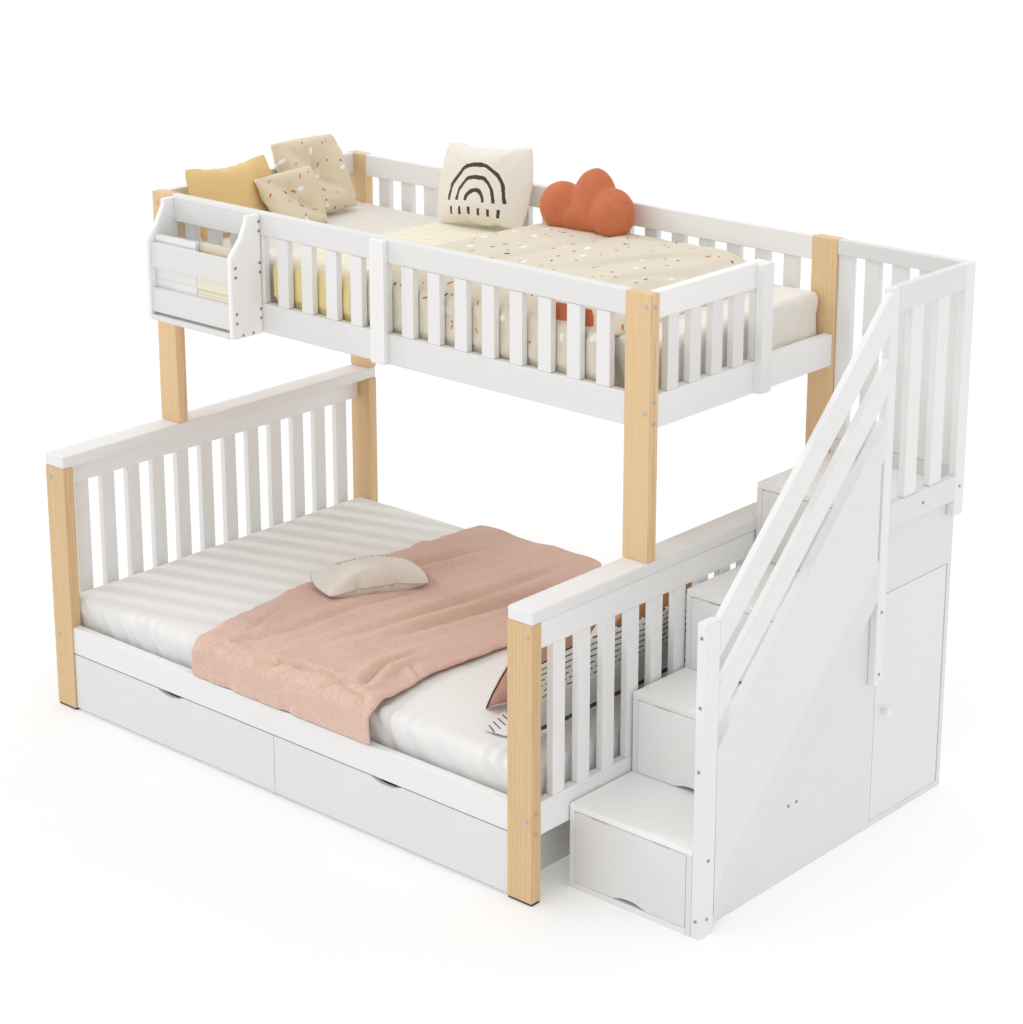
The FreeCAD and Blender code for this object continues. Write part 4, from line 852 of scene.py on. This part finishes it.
white_sheet = plain_cloth("white_sheet", (0.79, 0.785, 0.77), (0.875, 0.87, 0.86), crease=0.3)
beige_sheet = plain_cloth("beige_sheet", (0.78, 0.735, 0.67), (0.885, 0.845, 0.785), crease=0.3)
sheeted_mattress("lower_mattress", white_sheet, radius=0.026, crown=0.007, bulge=0.014,
                 seed=1.0, pucker=0.006)
sheeted_mattress("upper_mattress", beige_sheet, radius=0.024, crown=0.004, bulge=0.004,
                 seed=4.0, pucker=0.002)
lower_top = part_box("lower_mattress")[1].z
upper_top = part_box("upper_mattress")[1].z


def fold_height(place, path, width, depth, rise):
    """A soft crease along a path over flat places, with a puffed ridge on each side of it."""
    spans = [math.dist(a, b) for a, b in zip(path, path[1:])]
    away, fade, done = np.full(len(place), 9.0), np.zeros(len(place)), 0.0
    for a, b, span in zip(path, path[1:], spans):
        a, b = np.array(a), np.array(b)
        t = np.clip(((place - a) @ (b - a)) / span ** 2, 0, 1)
        gap = np.linalg.norm(place - (a + t[:, None] * (b - a)), axis=1)
        share = (done + t * span) / sum(spans)
        closer = gap < away
        away = np.where(closer, gap, away)
        fade = np.where(closer, np.sin(np.pi * np.clip(share, 0.03, 0.97)) ** 0.6, fade)
        done += span
    ridge = rise * np.exp(-((away - 1.9 * width) / (1.3 * width)) ** 2)
    return fade * (ridge - depth * np.exp(-(away / width) ** 2))


# pink fleece blanket over the lower bed, its places in the bed's own metres
blanket_left = ((0.0, 0.06, 0.174, 0.502, 0.782, 1.038, 1.378, 1.434),
                (0.717, 0.70, 0.686, 0.640, 0.616, 0.640, 0.668, 0.672))
blanket_right = ((0.0, 0.06, 0.208, 0.328, 0.489, 0.654, 0.9, 1.15, 1.36, 1.434),
                 (1.530, 1.528, 1.506, 1.486, 1.500, 1.516, 1.495, 1.42, 1.315, 1.27))
blanket_folds = (((0.86, 0.08), (0.912, 0.3), (0.925, 0.56), (0.99, 0.8)), 0.022, 0.008, 0.008), \
                (((1.06, 0.22), (1.112, 0.463), (1.196, 1.022), (1.2, 1.3)), 0.026, 0.011, 0.011), \
                (((1.215, 0.44), (1.231, 0.567), (1.289, 0.902), (1.33, 1.2)), 0.022, 0.009, 0.008), \
                (((1.44, 0.05), (1.395, 0.14), (1.347, 0.26), (1.36, 0.42)), 0.018, 0.012, 0.015), \
                (((0.78, 0.62), (0.80, 0.9), (0.88, 1.25)), 0.022, 0.010, 0.013), \
                (((1.04, 0.02), (1.13, 0.075), (1.26, 0.085), (1.40, 0.07)), 0.015, 0.012, 0.012), \
                (((1.157, -0.007), (1.296, 0.004), (1.382, 0.078)), 0.011, 0.010, 0.008), \
                (((1.367, 0.047), (1.475, 0.040), (1.514, 0.0)), 0.011, 0.010, 0.008), \
                (((1.477, 0.35), (1.482, 0.279), (1.412, 0.312)), 0.011, 0.008, 0.007), \
                (((0.748, 0.018), (0.828, 0.035), (0.917, 0.025)), 0.011, 0.009, 0.007), \
                (((0.824, 0.148), (0.777, 0.272), (0.749, 0.396)), 0.013, 0.006, 0.005)
BLANKET_COLUMNS, BLANKET_ROWS = 104, 176
BLANKET_FLAT = (0.87, 1.55)


def blanket():
    low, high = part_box("lower_blanket")
    hem_y, hem_z = 0.016, low.z + 0.003
    front_y, back_y = 0.052, high.y - BED_Y
    top_z = lower_top + 0.003
    rise = math.hypot(front_y - hem_y, top_z - hem_z) * 1.08
    flat_length = back_y - front_y + rise
    points, uvs = [], []
    for j in range(BLANKET_ROWS + 1):
        v = j / BLANKET_ROWS * flat_length
        if v < rise:
            t = v / rise
            y = hem_y + (front_y - hem_y) * t - 0.026 * math.sin(math.pi * min(1.0, t * 1.05)) ** 1.3
            z = hem_z + (top_z - hem_z) * math.sin(t * math.pi / 2) ** 0.92
        else:
            y, z = front_y + v - rise, top_z
        left, right = np.interp(y, *blanket_left), np.interp(y, *blanket_right)
        for i in range(BLANKET_COLUMNS + 1):
            points.append((left + (right - left) * i / BLANKET_COLUMNS, y, z))
            uvs.append((i / BLANKET_COLUMNS * BLANKET_FLAT[0], v))
    co, flat = np.array(points), np.array(uvs)
    place = np.stack([co[:, 0], flat[:, 1] - rise + front_y], 1)
    slant = np.stack([co[:, 0] - 0.16 * co[:, 1], co[:, 1], co[:, 2] * 0.5], 1)
    share = np.tile(np.linspace(0, 1, BLANKET_COLUMNS + 1), BLANKET_ROWS + 1)
    rim = np.minimum(share, 1 - share) * 0.85
    scallop = noise_at(co, (6.0, 15.0, 8.0), 8.8) + 0.5 * noise_at(co, (10.0, 34.0, 16.0), 1.9)
    lift = 0.011 + 0.011 * noise_at(slant, (6.0, 1.6, 0.0), 2.3)
    lift += 0.004 * noise_at(slant, (15.0, 4.5, 0.0), 6.1)
    for path, width, depth, ridge in blanket_folds:
        lift += fold_height(place, path, width, depth, ridge)
    lift *= 1 - 0.8 * np.exp(-rim / 0.018)
    lift += 0.010 * np.maximum(scallop, -0.1) * np.exp(-rim / 0.035)
    near_front = np.exp(-np.maximum(place[:, 1] - 0.08, 0) / 0.11)
    rumple = 0.012 * noise_at(co, (15.0, 11.0, 15.0), 4.1) + 0.006 * noise_at(co, (34.0, 24.0, 34.0), 7.4)
    lift += rumple * near_front
    # the lying cushion's middle, turned by its heading, with half the sizes that it presses flat
    from_x, from_y = co[:, 0] - 0.79, co[:, 1] - 0.76
    across, along = from_x * 0.89 - from_y * 0.45, from_x * 0.45 + from_y * 0.89
    under = np.exp(-(across / 0.13) ** 4 - (along / 0.2) ** 4)
    lift = np.maximum(lift, 0.0005) * (1 - under) + 0.003 * under
    on_top = smooth_step(place[:, 1], -0.03, 0.06)
    fuzz = 0.0009 * noise_at(co, (120.0, 120.0, 120.0), 5.0)
    co[:, 2] += lift * (0.25 + 0.75 * on_top) + fuzz
    co[:, 1] -= lift * 0.9 * (1 - on_top) + fuzz
    side = np.sign(share - 0.5)
    co[:, 0] += side * 0.012 * scallop * np.exp(-rim / 0.03)
    hem = np.exp(-flat[:, 1] / 0.012)
    co[:, 2] = np.where(flat[:, 1] < rise, np.maximum(co[:, 2] - 0.01 * hem, hem_z), co[:, 2])
    co[:, 1] = np.maximum(co[:, 1], 0.006)
    co += np.array([BED_X, BED_Y, 0.0])
    return mesh_object("lower_blanket_fleece", co, grid_faces(BLANKET_COLUMNS, BLANKET_ROWS), uvs)


def thicken(obj, thickness):
    """Give a layer its thickness, with a round hem."""
    modifier = obj.modifiers.new("thick", "SOLIDIFY")
    modifier.thickness = thickness
    modifier.offset = 1.0
    subdivide(obj)


blanket_piece = blanket()
dress(blanket_piece, fleece("pink_fleece", (0.56, 0.31, 0.225), (1.0, 0.725, 0.61)))
thicken(blanket_piece, thickness=0.009)
declare(blanket_piece, "lower_blanket")


# upper throw and duvet: over the mattress and down behind the front guard, in the row's metres
bed_front_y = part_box("upper_mattress")[0].y
front_slats = [box for box in island_boxes("upper_guard_slats") if box[1][1] < bed_front_y]
slat_middles = np.array(sorted((box[0][0] + box[1][0]) / 2 for box in front_slats))
slat_half = (front_slats[0][1][0] - front_slats[0][0][0]) / 2
slat_inner_y = front_slats[0][1][1]
guard_inner_y = BED_Y + 0.555
guard_low_z = front_slats[0][0][2]
COVER_HANG = 0.2


def over_the_front(name, left, right, rise_of, skin, cell, seed, back_y, hang, bulge):
    """A cover as one closed skin: from the back edge over the bed, and down behind the guard's slats."""
    top_run = back_y - bed_front_y
    columns, rows = round((right[0] - left[0]) / cell), round((top_run + hang) / cell)
    u, v = np.meshgrid(np.arange(columns + 1) / columns, np.arange(rows + 1) / rows * (top_run + hang))
    u, v = u.ravel(), v.ravel()
    fall = np.maximum(v - top_run, 0)
    y = np.maximum(back_y - v, bed_front_y)
    depth = (y - bed_front_y) / top_run
    x = (left[0] + (left[1] - left[0]) * depth) * (1 - u) + (right[0] + (right[1] - right[0]) * depth) * u
    rise = rise_of(x, y, u) * (0.3 + 0.7 * smooth_step(y, bed_front_y, bed_front_y + 0.07))
    z = upper_top + 0.002 + skin + rise
    z -= np.where(fall < 0.05, (fall / 0.05) ** 2 * 0.03, fall - 0.02)
    sway = 0.02 * noise_at(np.stack([x * 5.0, z * 15.0, z * 0 + seed], 1), (1, 1, 1), seed)
    near = np.abs((x + sway)[:, None] - slat_middles[None, :]).min(1)
    gap = smooth_step(near, slat_half * 0.8, slat_half + 0.028)
    gap *= smooth_step(z, guard_low_z + 0.002, guard_low_z + 0.035)
    beside_slats = np.abs(x[:, None] - slat_middles[None, :]).min(1)
    gap *= smooth_step(beside_slats, slat_half, slat_half + 0.01)
    fold = noise_at(np.stack([x * 13.0, z * 3.0, z * 0], 1), (1, 1, 1), seed + 2.0)
    hung_y = np.where(z > guard_low_z + 0.012, slat_inner_y, guard_inner_y)
    hung_y += 0.0045 + 0.004 * np.maximum(fold, 0)
    hung_y -= bulge * gap * (0.75 + 0.35 * fold)
    out = np.sin(np.clip(fall / 0.055, 0, 1) * np.pi / 2)
    y = np.where(fall > 0, bed_front_y + (hung_y - bed_front_y) * out, y)
    outer = np.stack([x, y, z], 1)
    thick = skin + 0.35 * rise
    inner = np.stack([x, np.where(fall > 0, np.minimum(y + thick * out, bed_front_y - 0.001), y),
                      np.where(fall > 0, z - thick * (1 - out), upper_top - 0.007)], 1)
    inner[:, 2] = np.where((fall > 0) & (fall < 0.03), np.minimum(inner[:, 2], z - 0.002), inner[:, 2])
    uvs = np.stack([x - left[0], top_run - v], 1)
    count = len(outer)
    faces = grid_faces(columns, rows, flip=True)
    faces += [tuple(k + count for k in face[::-1]) for face in faces]
    edge = list(range(columns + 1)) + [(j + 1) * (columns + 1) - 1 for j in range(1, rows + 1)]
    edge += [rows * (columns + 1) + i for i in range(columns - 1, -1, -1)]
    edge += [j * (columns + 1) for j in range(rows - 1, 0, -1)]
    for a, b in zip(edge, edge[1:] + edge[:1]):
        faces.append((a, b, b + count, a + count))
    return mesh_object(name, np.concatenate([outer, inner]), faces, np.concatenate([uvs, uvs]))


def throw_rise(x, y, u):
    place = np.stack([x, y, x * 0], 1)
    rim = np.minimum(u, 1 - u)
    return 0.003 + 0.003 * noise_at(place, (7.0, 2.2, 0), 3.3) + 0.002 * np.exp(-rim / 0.03)


duvet_folds = (((1.53, 0.90), (1.607, 1.052), (1.686, 1.251), (1.854, 1.40)), 0.026, 0.016, 0.006), \
              (((1.22, 0.72), (1.30, 0.95), (1.36, 1.2), (1.37, 1.42)), 0.030, 0.010, 0.004), \
              (((1.78, 0.75), (1.80, 0.95), (1.90, 1.15)), 0.028, 0.012, 0.005)


def duvet_rise(x, y, u):
    """A turned band along the head end, broad puffs beyond it, thin towards the foot and the back."""
    place = np.stack([x - BED_X, y - BED_Y], 1)
    from_edge = u * (duvet_right[0] - duvet_left[0])
    flat3 = np.stack([x, y, x * 0], 1)
    wander = 0.006 * noise_at(flat3, (9.0, 9.0, 0), 1.3)
    band = 0.028 * np.clip(from_edge / 0.014, 0, 1) ** 0.5
    seam = 0.022 * np.exp(-((from_edge + wander - 0.058) / 0.008) ** 2)
    body = 0.04 * smooth_step(from_edge + wander, 0.056, 0.1) ** 0.7 - seam
    foot = np.clip((1 - u) / 0.14, 0, 1) ** 0.6
    back = np.clip((duvet_back - y) / 0.03, 0, 1) ** 0.5
    puff = 0.011 * noise_at(flat3, (4.2, 3.0, 0), 7.7) + 0.005 * noise_at(flat3, (11.0, 8.0, 0), 1.7)
    rise = band + body + puff * smooth_step(from_edge, 0.06, 0.12)
    for path, width, depth, ridge in duvet_folds:
        rise += fold_height(place, path, width, depth, ridge)
    return np.maximum(rise, 0.004) * foot * back


throw_low, throw_high = island_boxes("upper_throw")[0]
duvet_low, duvet_high = island_boxes("upper_duvet")[0]
# each side edge's place at the front and at the back
duvet_left = (duvet_low[0] + 0.01, duvet_low[0] + 0.06)
duvet_right = (duvet_high[0] - 0.055, duvet_high[0] - 0.09)
throw_left = (throw_low[0], throw_low[0] + 0.01)
throw_right = (throw_high[0] + 0.03, throw_high[0] + 0.08)
duvet_back = duvet_high[1]
throw_piece = over_the_front("upper_throw_check", throw_left, throw_right, throw_rise, skin=0.004, cell=0.011,
                             seed=2.0, back_y=throw_high[1], hang=COVER_HANG, bulge=0.012)
dress(throw_piece, checked())
duvet_piece = over_the_front("upper_duvet_print", duvet_left, duvet_right, duvet_rise, skin=0.006,
                             cell=0.0115, seed=9.0, back_y=duvet_back, hang=COVER_HANG, bulge=0.015)
duvet_print = printed("beige_print", (0.68, 0.615, 0.48), (0.765, 0.71, 0.585), band=(0.058, 0.06))
dress(duvet_piece, duvet_print)
for obj, node, slot in ((throw_piece, "upper_throw", "yellow_check"),
                        (duvet_piece, "upper_duvet", "beige_print")):
    subdivide(obj)
    declare(obj, node)


# cushions
def middle(box):
    return tuple((box[0] + box[1]) / 2)


def add_cushion(name, node, box, size, angles, material, slot, **details):
    obj, rim = cushion(name, size, middle(box), angles, material, **details)
    declare(obj, node)
    return obj, rim


linen = brushed_linen()
natural = plain_linen()
print_cotton = printed("pillow_print", (0.69, 0.585, 0.42), (0.775, 0.675, 0.505), 0.8)
yellow = quilted()
pink_cotton = plain_cloth("pink_cotton", (0.62, 0.33, 0.25), (0.74, 0.43, 0.35), 800)
tan_cotton = plain_cloth("tan_cotton", (0.5, 0.24, 0.09), (0.64, 0.34, 0.14), 800)
rust = velvet("rust_velvet", (0.47, 0.115, 0.042), (0.70, 0.215, 0.09))
seam_dark = plain_cloth("seam_brown", (0.3, 0.26, 0.21), (0.4, 0.35, 0.29), 900)
piping = plain_cloth("piping_black", (0.012, 0.01, 0.01), (0.03, 0.028, 0.026), 900)

upper_floor = upper_top + 0.001
# each cushion's size is its width, thickness and height, and its angles are its lean, heading and roll
add_cushion("square_cushion", "square_pillow", island_boxes("square_pillow")[0], (0.405, 0.112, 0.292),
            (17, 5, -3), linen, "off_white_linen", barrel=0.11, shift=(0, 0, -0.024),
            floor=upper_floor + 0.007)
head_boxes = island_boxes("head_pillows")
add_cushion("yellow_cushion", "head_pillows", head_boxes[0], (0.40, 0.098, 0.262), (20, 90, 0), yellow,
            "yellow_quilt", quilt=0.11, barrel=0.07, floor=upper_floor, shift=(0.016, 0, -0.002))
add_cushion("back_print_cushion", "head_pillows", head_boxes[1], (0.30, 0.104, 0.295), (29, 88, 0),
            print_cotton, "beige_print", tuft=0.16, floor=upper_floor, shift=(0.008, -0.008, -0.01),
            bending=0.3, barrel=0.055)
add_cushion("front_print_cushion", "head_pillows", head_boxes[2], (0.25, 0.086, 0.222), (34, 88, 0),
            print_cotton, "beige_print", tuft=0.16, floor=upper_floor, shift=(0.036, -0.016, -0.01),
            bending=0.3, barrel=0.035)
lying_piece, lying_rim = add_cushion("lying_cushion", "lying_pillow", island_boxes("lying_pillow")[0],
                                     (0.395, 0.126, 0.24), (90, 63, 0), natural, "off_white_linen",
                                     barrel=0.1, shift=(0.052, -0.03, -0.027), floor=lower_top + 0.0125)
welt("lying_cushion_seam", lying_piece, lying_rim, radius=0.0009, material=seam_dark)
foot_boxes = island_boxes("foot_pillows")
pink_piece, pink_rim = add_cushion("pink_cushion", "foot_pillows", foot_boxes[0], (0.39, 0.118, 0.35),
                                   (31, -90, 0), pink_cotton, "pink_cotton", floor=lower_top + 0.001,
                                   shift=(-0.055, -0.03, 0.006))
welt("pink_cushion_piping", pink_piece, pink_rim, radius=0.0026, material=piping)
add_cushion("tan_cushion", "foot_pillows", foot_boxes[1], (0.40, 0.118, 0.35), (35, -90, 0), tan_cotton,
            "pink_cotton", floor=lower_top + 0.001, shift=(0, -0.03, 0))
rust_boxes = island_boxes("rust_cushions")
add_cushion("small_rust_cushion", "rust_cushions", rust_boxes[1], (0.185, 0.027, 0.07), (0, 0, 0), rust,
            "rust_velvet", cell=0.006, pressure=4.0)

# cloud cushion: three puffed lobes over a flat base, each with its middle and half sizes in metres
cloud_lobes = (((-0.102, 0.0, 0.074), (0.096, 0.058, 0.084)), ((0.022, 0.002, 0.098), (0.088, 0.056, 0.118)),
               ((0.108, -0.006, 0.074), (0.087, 0.060, 0.086)), ((0.0, 0.0, 0.050), (0.172, 0.055, 0.058)))
CLOUD_VOXEL = 0.005
CLOUD_BASE = 0.004
CLOUD_PUFF = 0.006


def cloud_cushion():
    made = bmesh.new()
    for place, half in cloud_lobes:
        matrix = Matrix.Translation(place) @ Matrix.Diagonal((*half, 1))
        bmesh.ops.create_uvsphere(made, u_segments=48, v_segments=28, radius=1.0, matrix=matrix)
    mesh = bpy.data.meshes.new("cloud_cushion")
    made.to_mesh(mesh)
    made.free()
    obj = bpy.data.objects.new("cloud_cushion", mesh)
    scene.collection.objects.link(obj)
    remesh = obj.modifiers.new("join", "REMESH")
    remesh.mode = "VOXEL"
    remesh.voxel_size = CLOUD_VOXEL
    joined = bpy.data.meshes.new_from_object(obj.evaluated_get(bpy.context.evaluated_depsgraph_get()))
    obj.modifiers.clear()
    obj.data = joined
    bpy.data.meshes.remove(mesh)
    relax(obj, 11)
    co = points_of(obj)
    co[:, 2] = np.where(co[:, 2] < CLOUD_BASE, CLOUD_BASE + (co[:, 2] - CLOUD_BASE) * 0.15, co[:, 2])
    set_points(obj, co)
    bake_cloth(obj, CLOUD_FRAMES, pressure=1.6, bending=1.5)
    moved = points_of(obj) - co
    length = np.maximum(np.linalg.norm(moved, axis=1), 1e-9)
    set_points(obj, co + moved * (np.minimum(length, CLOUD_PUFF) / length)[:, None])
    co, out = points_of(obj), normals_of(obj)
    tuck = noise_at(co, (75.0, 20.0, 9.0), 3.0) * np.exp(-(np.maximum(co[:, 2] - 0.012, 0) / 0.035) ** 2)
    co += out * (0.0028 * tuck + 0.0012 * noise_at(co, (22.0, 22.0, 22.0), 6.0))[:, None]
    set_points(obj, co)
    obj.data.polygons.foreach_set("use_smooth", np.ones(len(obj.data.polygons), bool))
    return obj


cloud_piece = cloud_cushion()
fit(cloud_piece, (0.388, 0.126, 0.222))
cloud_piece.data.transform(Matrix.Translation(Vector(middle(rust_boxes[0]))) @ turned((10, 3, 0)))
dress(cloud_piece, rust)
subdivide(cloud_piece)
declare(cloud_piece, "rust_cushions")


# folded throw behind the foot cushions
def foot_throw():
    low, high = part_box("foot_throw")
    lean, rise = 0.092, high.z - low.z
    columns, rows = 90, 34
    points, uvs = [], []
    for j in range(rows + 1):
        t = j / rows
        for i in range(columns + 1):
            y = low.y + (high.y - low.y) * i / columns
            fold = 0.009 * noise.noise(Vector((y * 7, t * 1.5, 2.0)))
            fold += 0.004 * noise.noise(Vector((y * 19, t * 3, 5.0)))
            slack = 1 - 0.07 * t * (0.5 + noise.noise(Vector((y * 6, 0.0, 9.0))))
            points.append((low.x + 0.012 + lean * t + fold, y, low.z + rise * t * 0.99 * slack))
            uvs.append((y - low.y, t * rise))
    return mesh_object("foot_throw_knit", points, grid_faces(columns, rows, flip=True), uvs)


foot_piece = foot_throw()
dress(foot_piece, foot_cloth())
thicken(foot_piece, thickness=0.008)
declare(foot_piece, "foot_throw")


# loose corner of a fringed cloth on the sheet at the foot, its four corners in the bed's own metres
corner_ends = ((1.882, 0.138), (1.962, 0.148), (1.846, 0.272), (1.966, 0.29))


def fringed():
    """White cotton with dark stitches set across one edge."""
    sh = Shader("white_fringed", (0.86, 0.855, 0.84), 0.9, Sheen_Weight=0.15, Sheen_Roughness=0.5)
    place = sh.place("UV")
    x, y, _ = sh.split(place)
    colour = sh.mix(sh.slub(), (0.8, 0.795, 0.775), (0.875, 0.87, 0.855))
    slant = sh.math("MULTIPLY_ADD", x, 0.5, y)
    stitch = sh.math("LESS_THAN", sh.math("PINGPONG", slant, 0.0135), 0.0028)
    colour = sh.mix(sh.math("MULTIPLY", stitch, sh.band(x, 0.006, 0.05)), colour, (0.05, 0.048, 0.045))
    return sh.finish(colour, None, cloth_bump(sh, place, 800, 0.3))


def cloth_corner():
    count = 16
    a, b, c, d = (np.array(end) for end in corner_ends)
    points, uvs = [], []
    for j in range(count + 1):
        for i in range(count + 1):
            s, t = i / count, j / count
            x, y = (a * (1 - s) + b * s) * (1 - t) + (c * (1 - s) + d * s) * t
            curl = 0.006 * (1 - s) ** 4 + 0.002 * noise.noise(Vector((x * 30, y * 30, 1.0)))
            points.append((x + BED_X, y + BED_Y, lower_top + 0.0015 + max(curl, 0.0)))
            uvs.append((s * 0.1, t * 0.13))
    return mesh_object("foot_cloth_corner", points, grid_faces(count, count), uvs)


corner_piece = cloth_corner()
dress(corner_piece, fringed())
thicken(corner_piece, thickness=0.003)
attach(corner_piece, "frame")


# books: covers round a block of leaves
def book(made, low, high, board):
    """Adds one standing book: front and back boards, a spine, and leaves set in from the edges."""
    def slab(a, b, index):
        verts = [made.verts.new((x, y, z)) for x in (a[0], b[0]) for y in (a[1], b[1]) for z in (a[2], b[2])]
        for quad in ((0, 1, 3, 2), (4, 6, 7, 5), (0, 4, 5, 1), (2, 3, 7, 6), (0, 2, 6, 4), (1, 5, 7, 3)):
            made.faces.new([verts[k] for k in quad]).material_index = index

    thick, lip = 0.0022, 0.003
    slab((low[0], low[1], low[2]), (high[0], low[1] + thick, high[2]), board)
    slab((low[0], high[1] - thick, low[2]), (high[0], high[1], high[2]), board)
    slab((low[0], low[1] + thick, low[2]), (low[0] + thick, high[1] - thick, high[2]), board)
    slab((low[0] + thick, low[1] + thick, low[2] + lip), (high[0] - lip, high[1] - thick, high[2] - lip), 0)


made = bmesh.new()
book_boxes = island_boxes("books")
book_boxes[0][1][0] = book_boxes[1][0][0] - 0.002
for number, (low, high) in enumerate(book_boxes):
    book(made, low, high, number + 1)
mesh = bpy.data.meshes.new("caddy_books")
made.to_mesh(mesh)
made.free()
books_piece = bpy.data.objects.new("caddy_books", mesh)
scene.collection.objects.link(books_piece)
for material in (paper(),
                 book_cover("cover_white", (0.82, 0.83, 0.83), (0.88, 0.885, 0.885),
                            ((1.607, 0.003, (0.62, 0.72, 0.80)), (1.476, 0.004, (0.84, 0.74, 0.66)))),
                 book_cover("cover_cream", (0.87, 0.83, 0.66), (0.92, 0.885, 0.74),
                            ((1.470, 0.005, (0.68, 0.70, 0.46)), (1.458, 0.002, (0.84, 0.62, 0.4)))),
                 book_cover("cover_grey", (0.74, 0.76, 0.75), (0.82, 0.835, 0.83),
                            ((1.56, 0.01, (0.86, 0.85, 0.8)),)),
                 book_cover("cover_sand", (0.74, 0.68, 0.52), (0.84, 0.78, 0.62),
                            ((1.6, 0.004, (0.72, 0.62, 0.44)),))):
    mesh.materials.append(material)
bevel = books_piece.modifiers.new("edge", "BEVEL")
bevel.width, bevel.segments = 0.0006, 2
declare(books_piece, "books")


# studio: the camera as solved from the photo, its place in the bed's own metres and its angles in radians
CAMERA_PLACE, CAMERA_DOWN, CAMERA_HEADING = (6.36092, -4.77726, 3.4652), 0.28544, 0.72628
FOCAL_PIXELS, SHIFT_PIXELS, PHOTO_PIXELS = 2415.96, 132.0, 1024
SENSOR_WIDTH = 36.0
FLOOR_HALF = 60
LAMP_PLACE = (0, 0, 4)


def studio():
    floor_mesh = bpy.data.meshes.new("floor")
    corners = [(-FLOOR_HALF, -FLOOR_HALF, 0), (FLOOR_HALF, -FLOOR_HALF, 0), (FLOOR_HALF, FLOOR_HALF, 0),
               (-FLOOR_HALF, FLOOR_HALF, 0)]
    floor_mesh.from_pydata(corners, [], [(0, 1, 2, 3)])
    floor = bpy.data.objects.new("floor", floor_mesh)
    floor.location.z = -0.0005
    scene.collection.objects.link(floor)
    pale = Shader("floor_pale", (0.96, 0.96, 0.957), 0.9)
    broad = pale.noise(pale.place(), 0.6, 2.0)
    floor_mesh.materials.append(pale.finish(pale.mix(broad, (0.955, 0.955, 0.952), (0.965, 0.965, 0.962))))
    floor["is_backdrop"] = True
    world = bpy.data.worlds.new("studio")
    scene.world = world
    world.use_nodes = True
    world.node_tree.nodes["Background"].inputs[0].default_value = (1.0, 1.0, 1.0, 1)
    world.node_tree.nodes["Background"].inputs[1].default_value = 0.9

    def sun(name, energy, towards, width):
        data = bpy.data.lights.new(name, "SUN")
        data.energy = energy
        data.angle = math.radians(width)
        lamp_object = bpy.data.objects.new(name, data)
        lamp_object.location = LAMP_PLACE
        lamp_object.rotation_mode = "QUATERNION"
        lamp_object.rotation_quaternion = Vector(towards).to_track_quat("-Z", "Y")
        scene.collection.objects.link(lamp_object)
        return lamp_object.light_linking

    def floor_only(name, state):
        group = bpy.data.collections.new(name)
        group.objects.link(floor)
        group.collection_objects[0].light_linking.link_state = state
        return group

    on_bed, on_floor = floor_only("lit_bed", "EXCLUDE"), floor_only("lit_floor", "INCLUDE")
    sun("key", 0.62, (1.0, 0.27, -0.58), 5.5).receiver_collection = on_bed
    sun("above", 0.42, (0.1, 0.1, -1.0), 50.0).receiver_collection = on_bed
    wash = sun("wash", 0.6, (0.0, 0.0, -1.0), 10.0)
    wash.receiver_collection = on_floor
    wash.blocker_collection = on_floor
    camera = bpy.data.cameras.new("camera")
    camera.sensor_width = SENSOR_WIDTH
    camera.lens = FOCAL_PIXELS / PHOTO_PIXELS * SENSOR_WIDTH
    camera.shift_y = -SHIFT_PIXELS / PHOTO_PIXELS
    camera.clip_end = 200.0
    camera_object = bpy.data.objects.new("camera", camera)
    camera_object.location = (CAMERA_PLACE[0] + BED_X, CAMERA_PLACE[1] + BED_Y, CAMERA_PLACE[2])
    camera_object.rotation_euler = (math.pi / 2 - CAMERA_DOWN, 0, CAMERA_HEADING)
    scene.collection.objects.link(camera_object)
    scene.camera = camera_object


studio()
low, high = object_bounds()
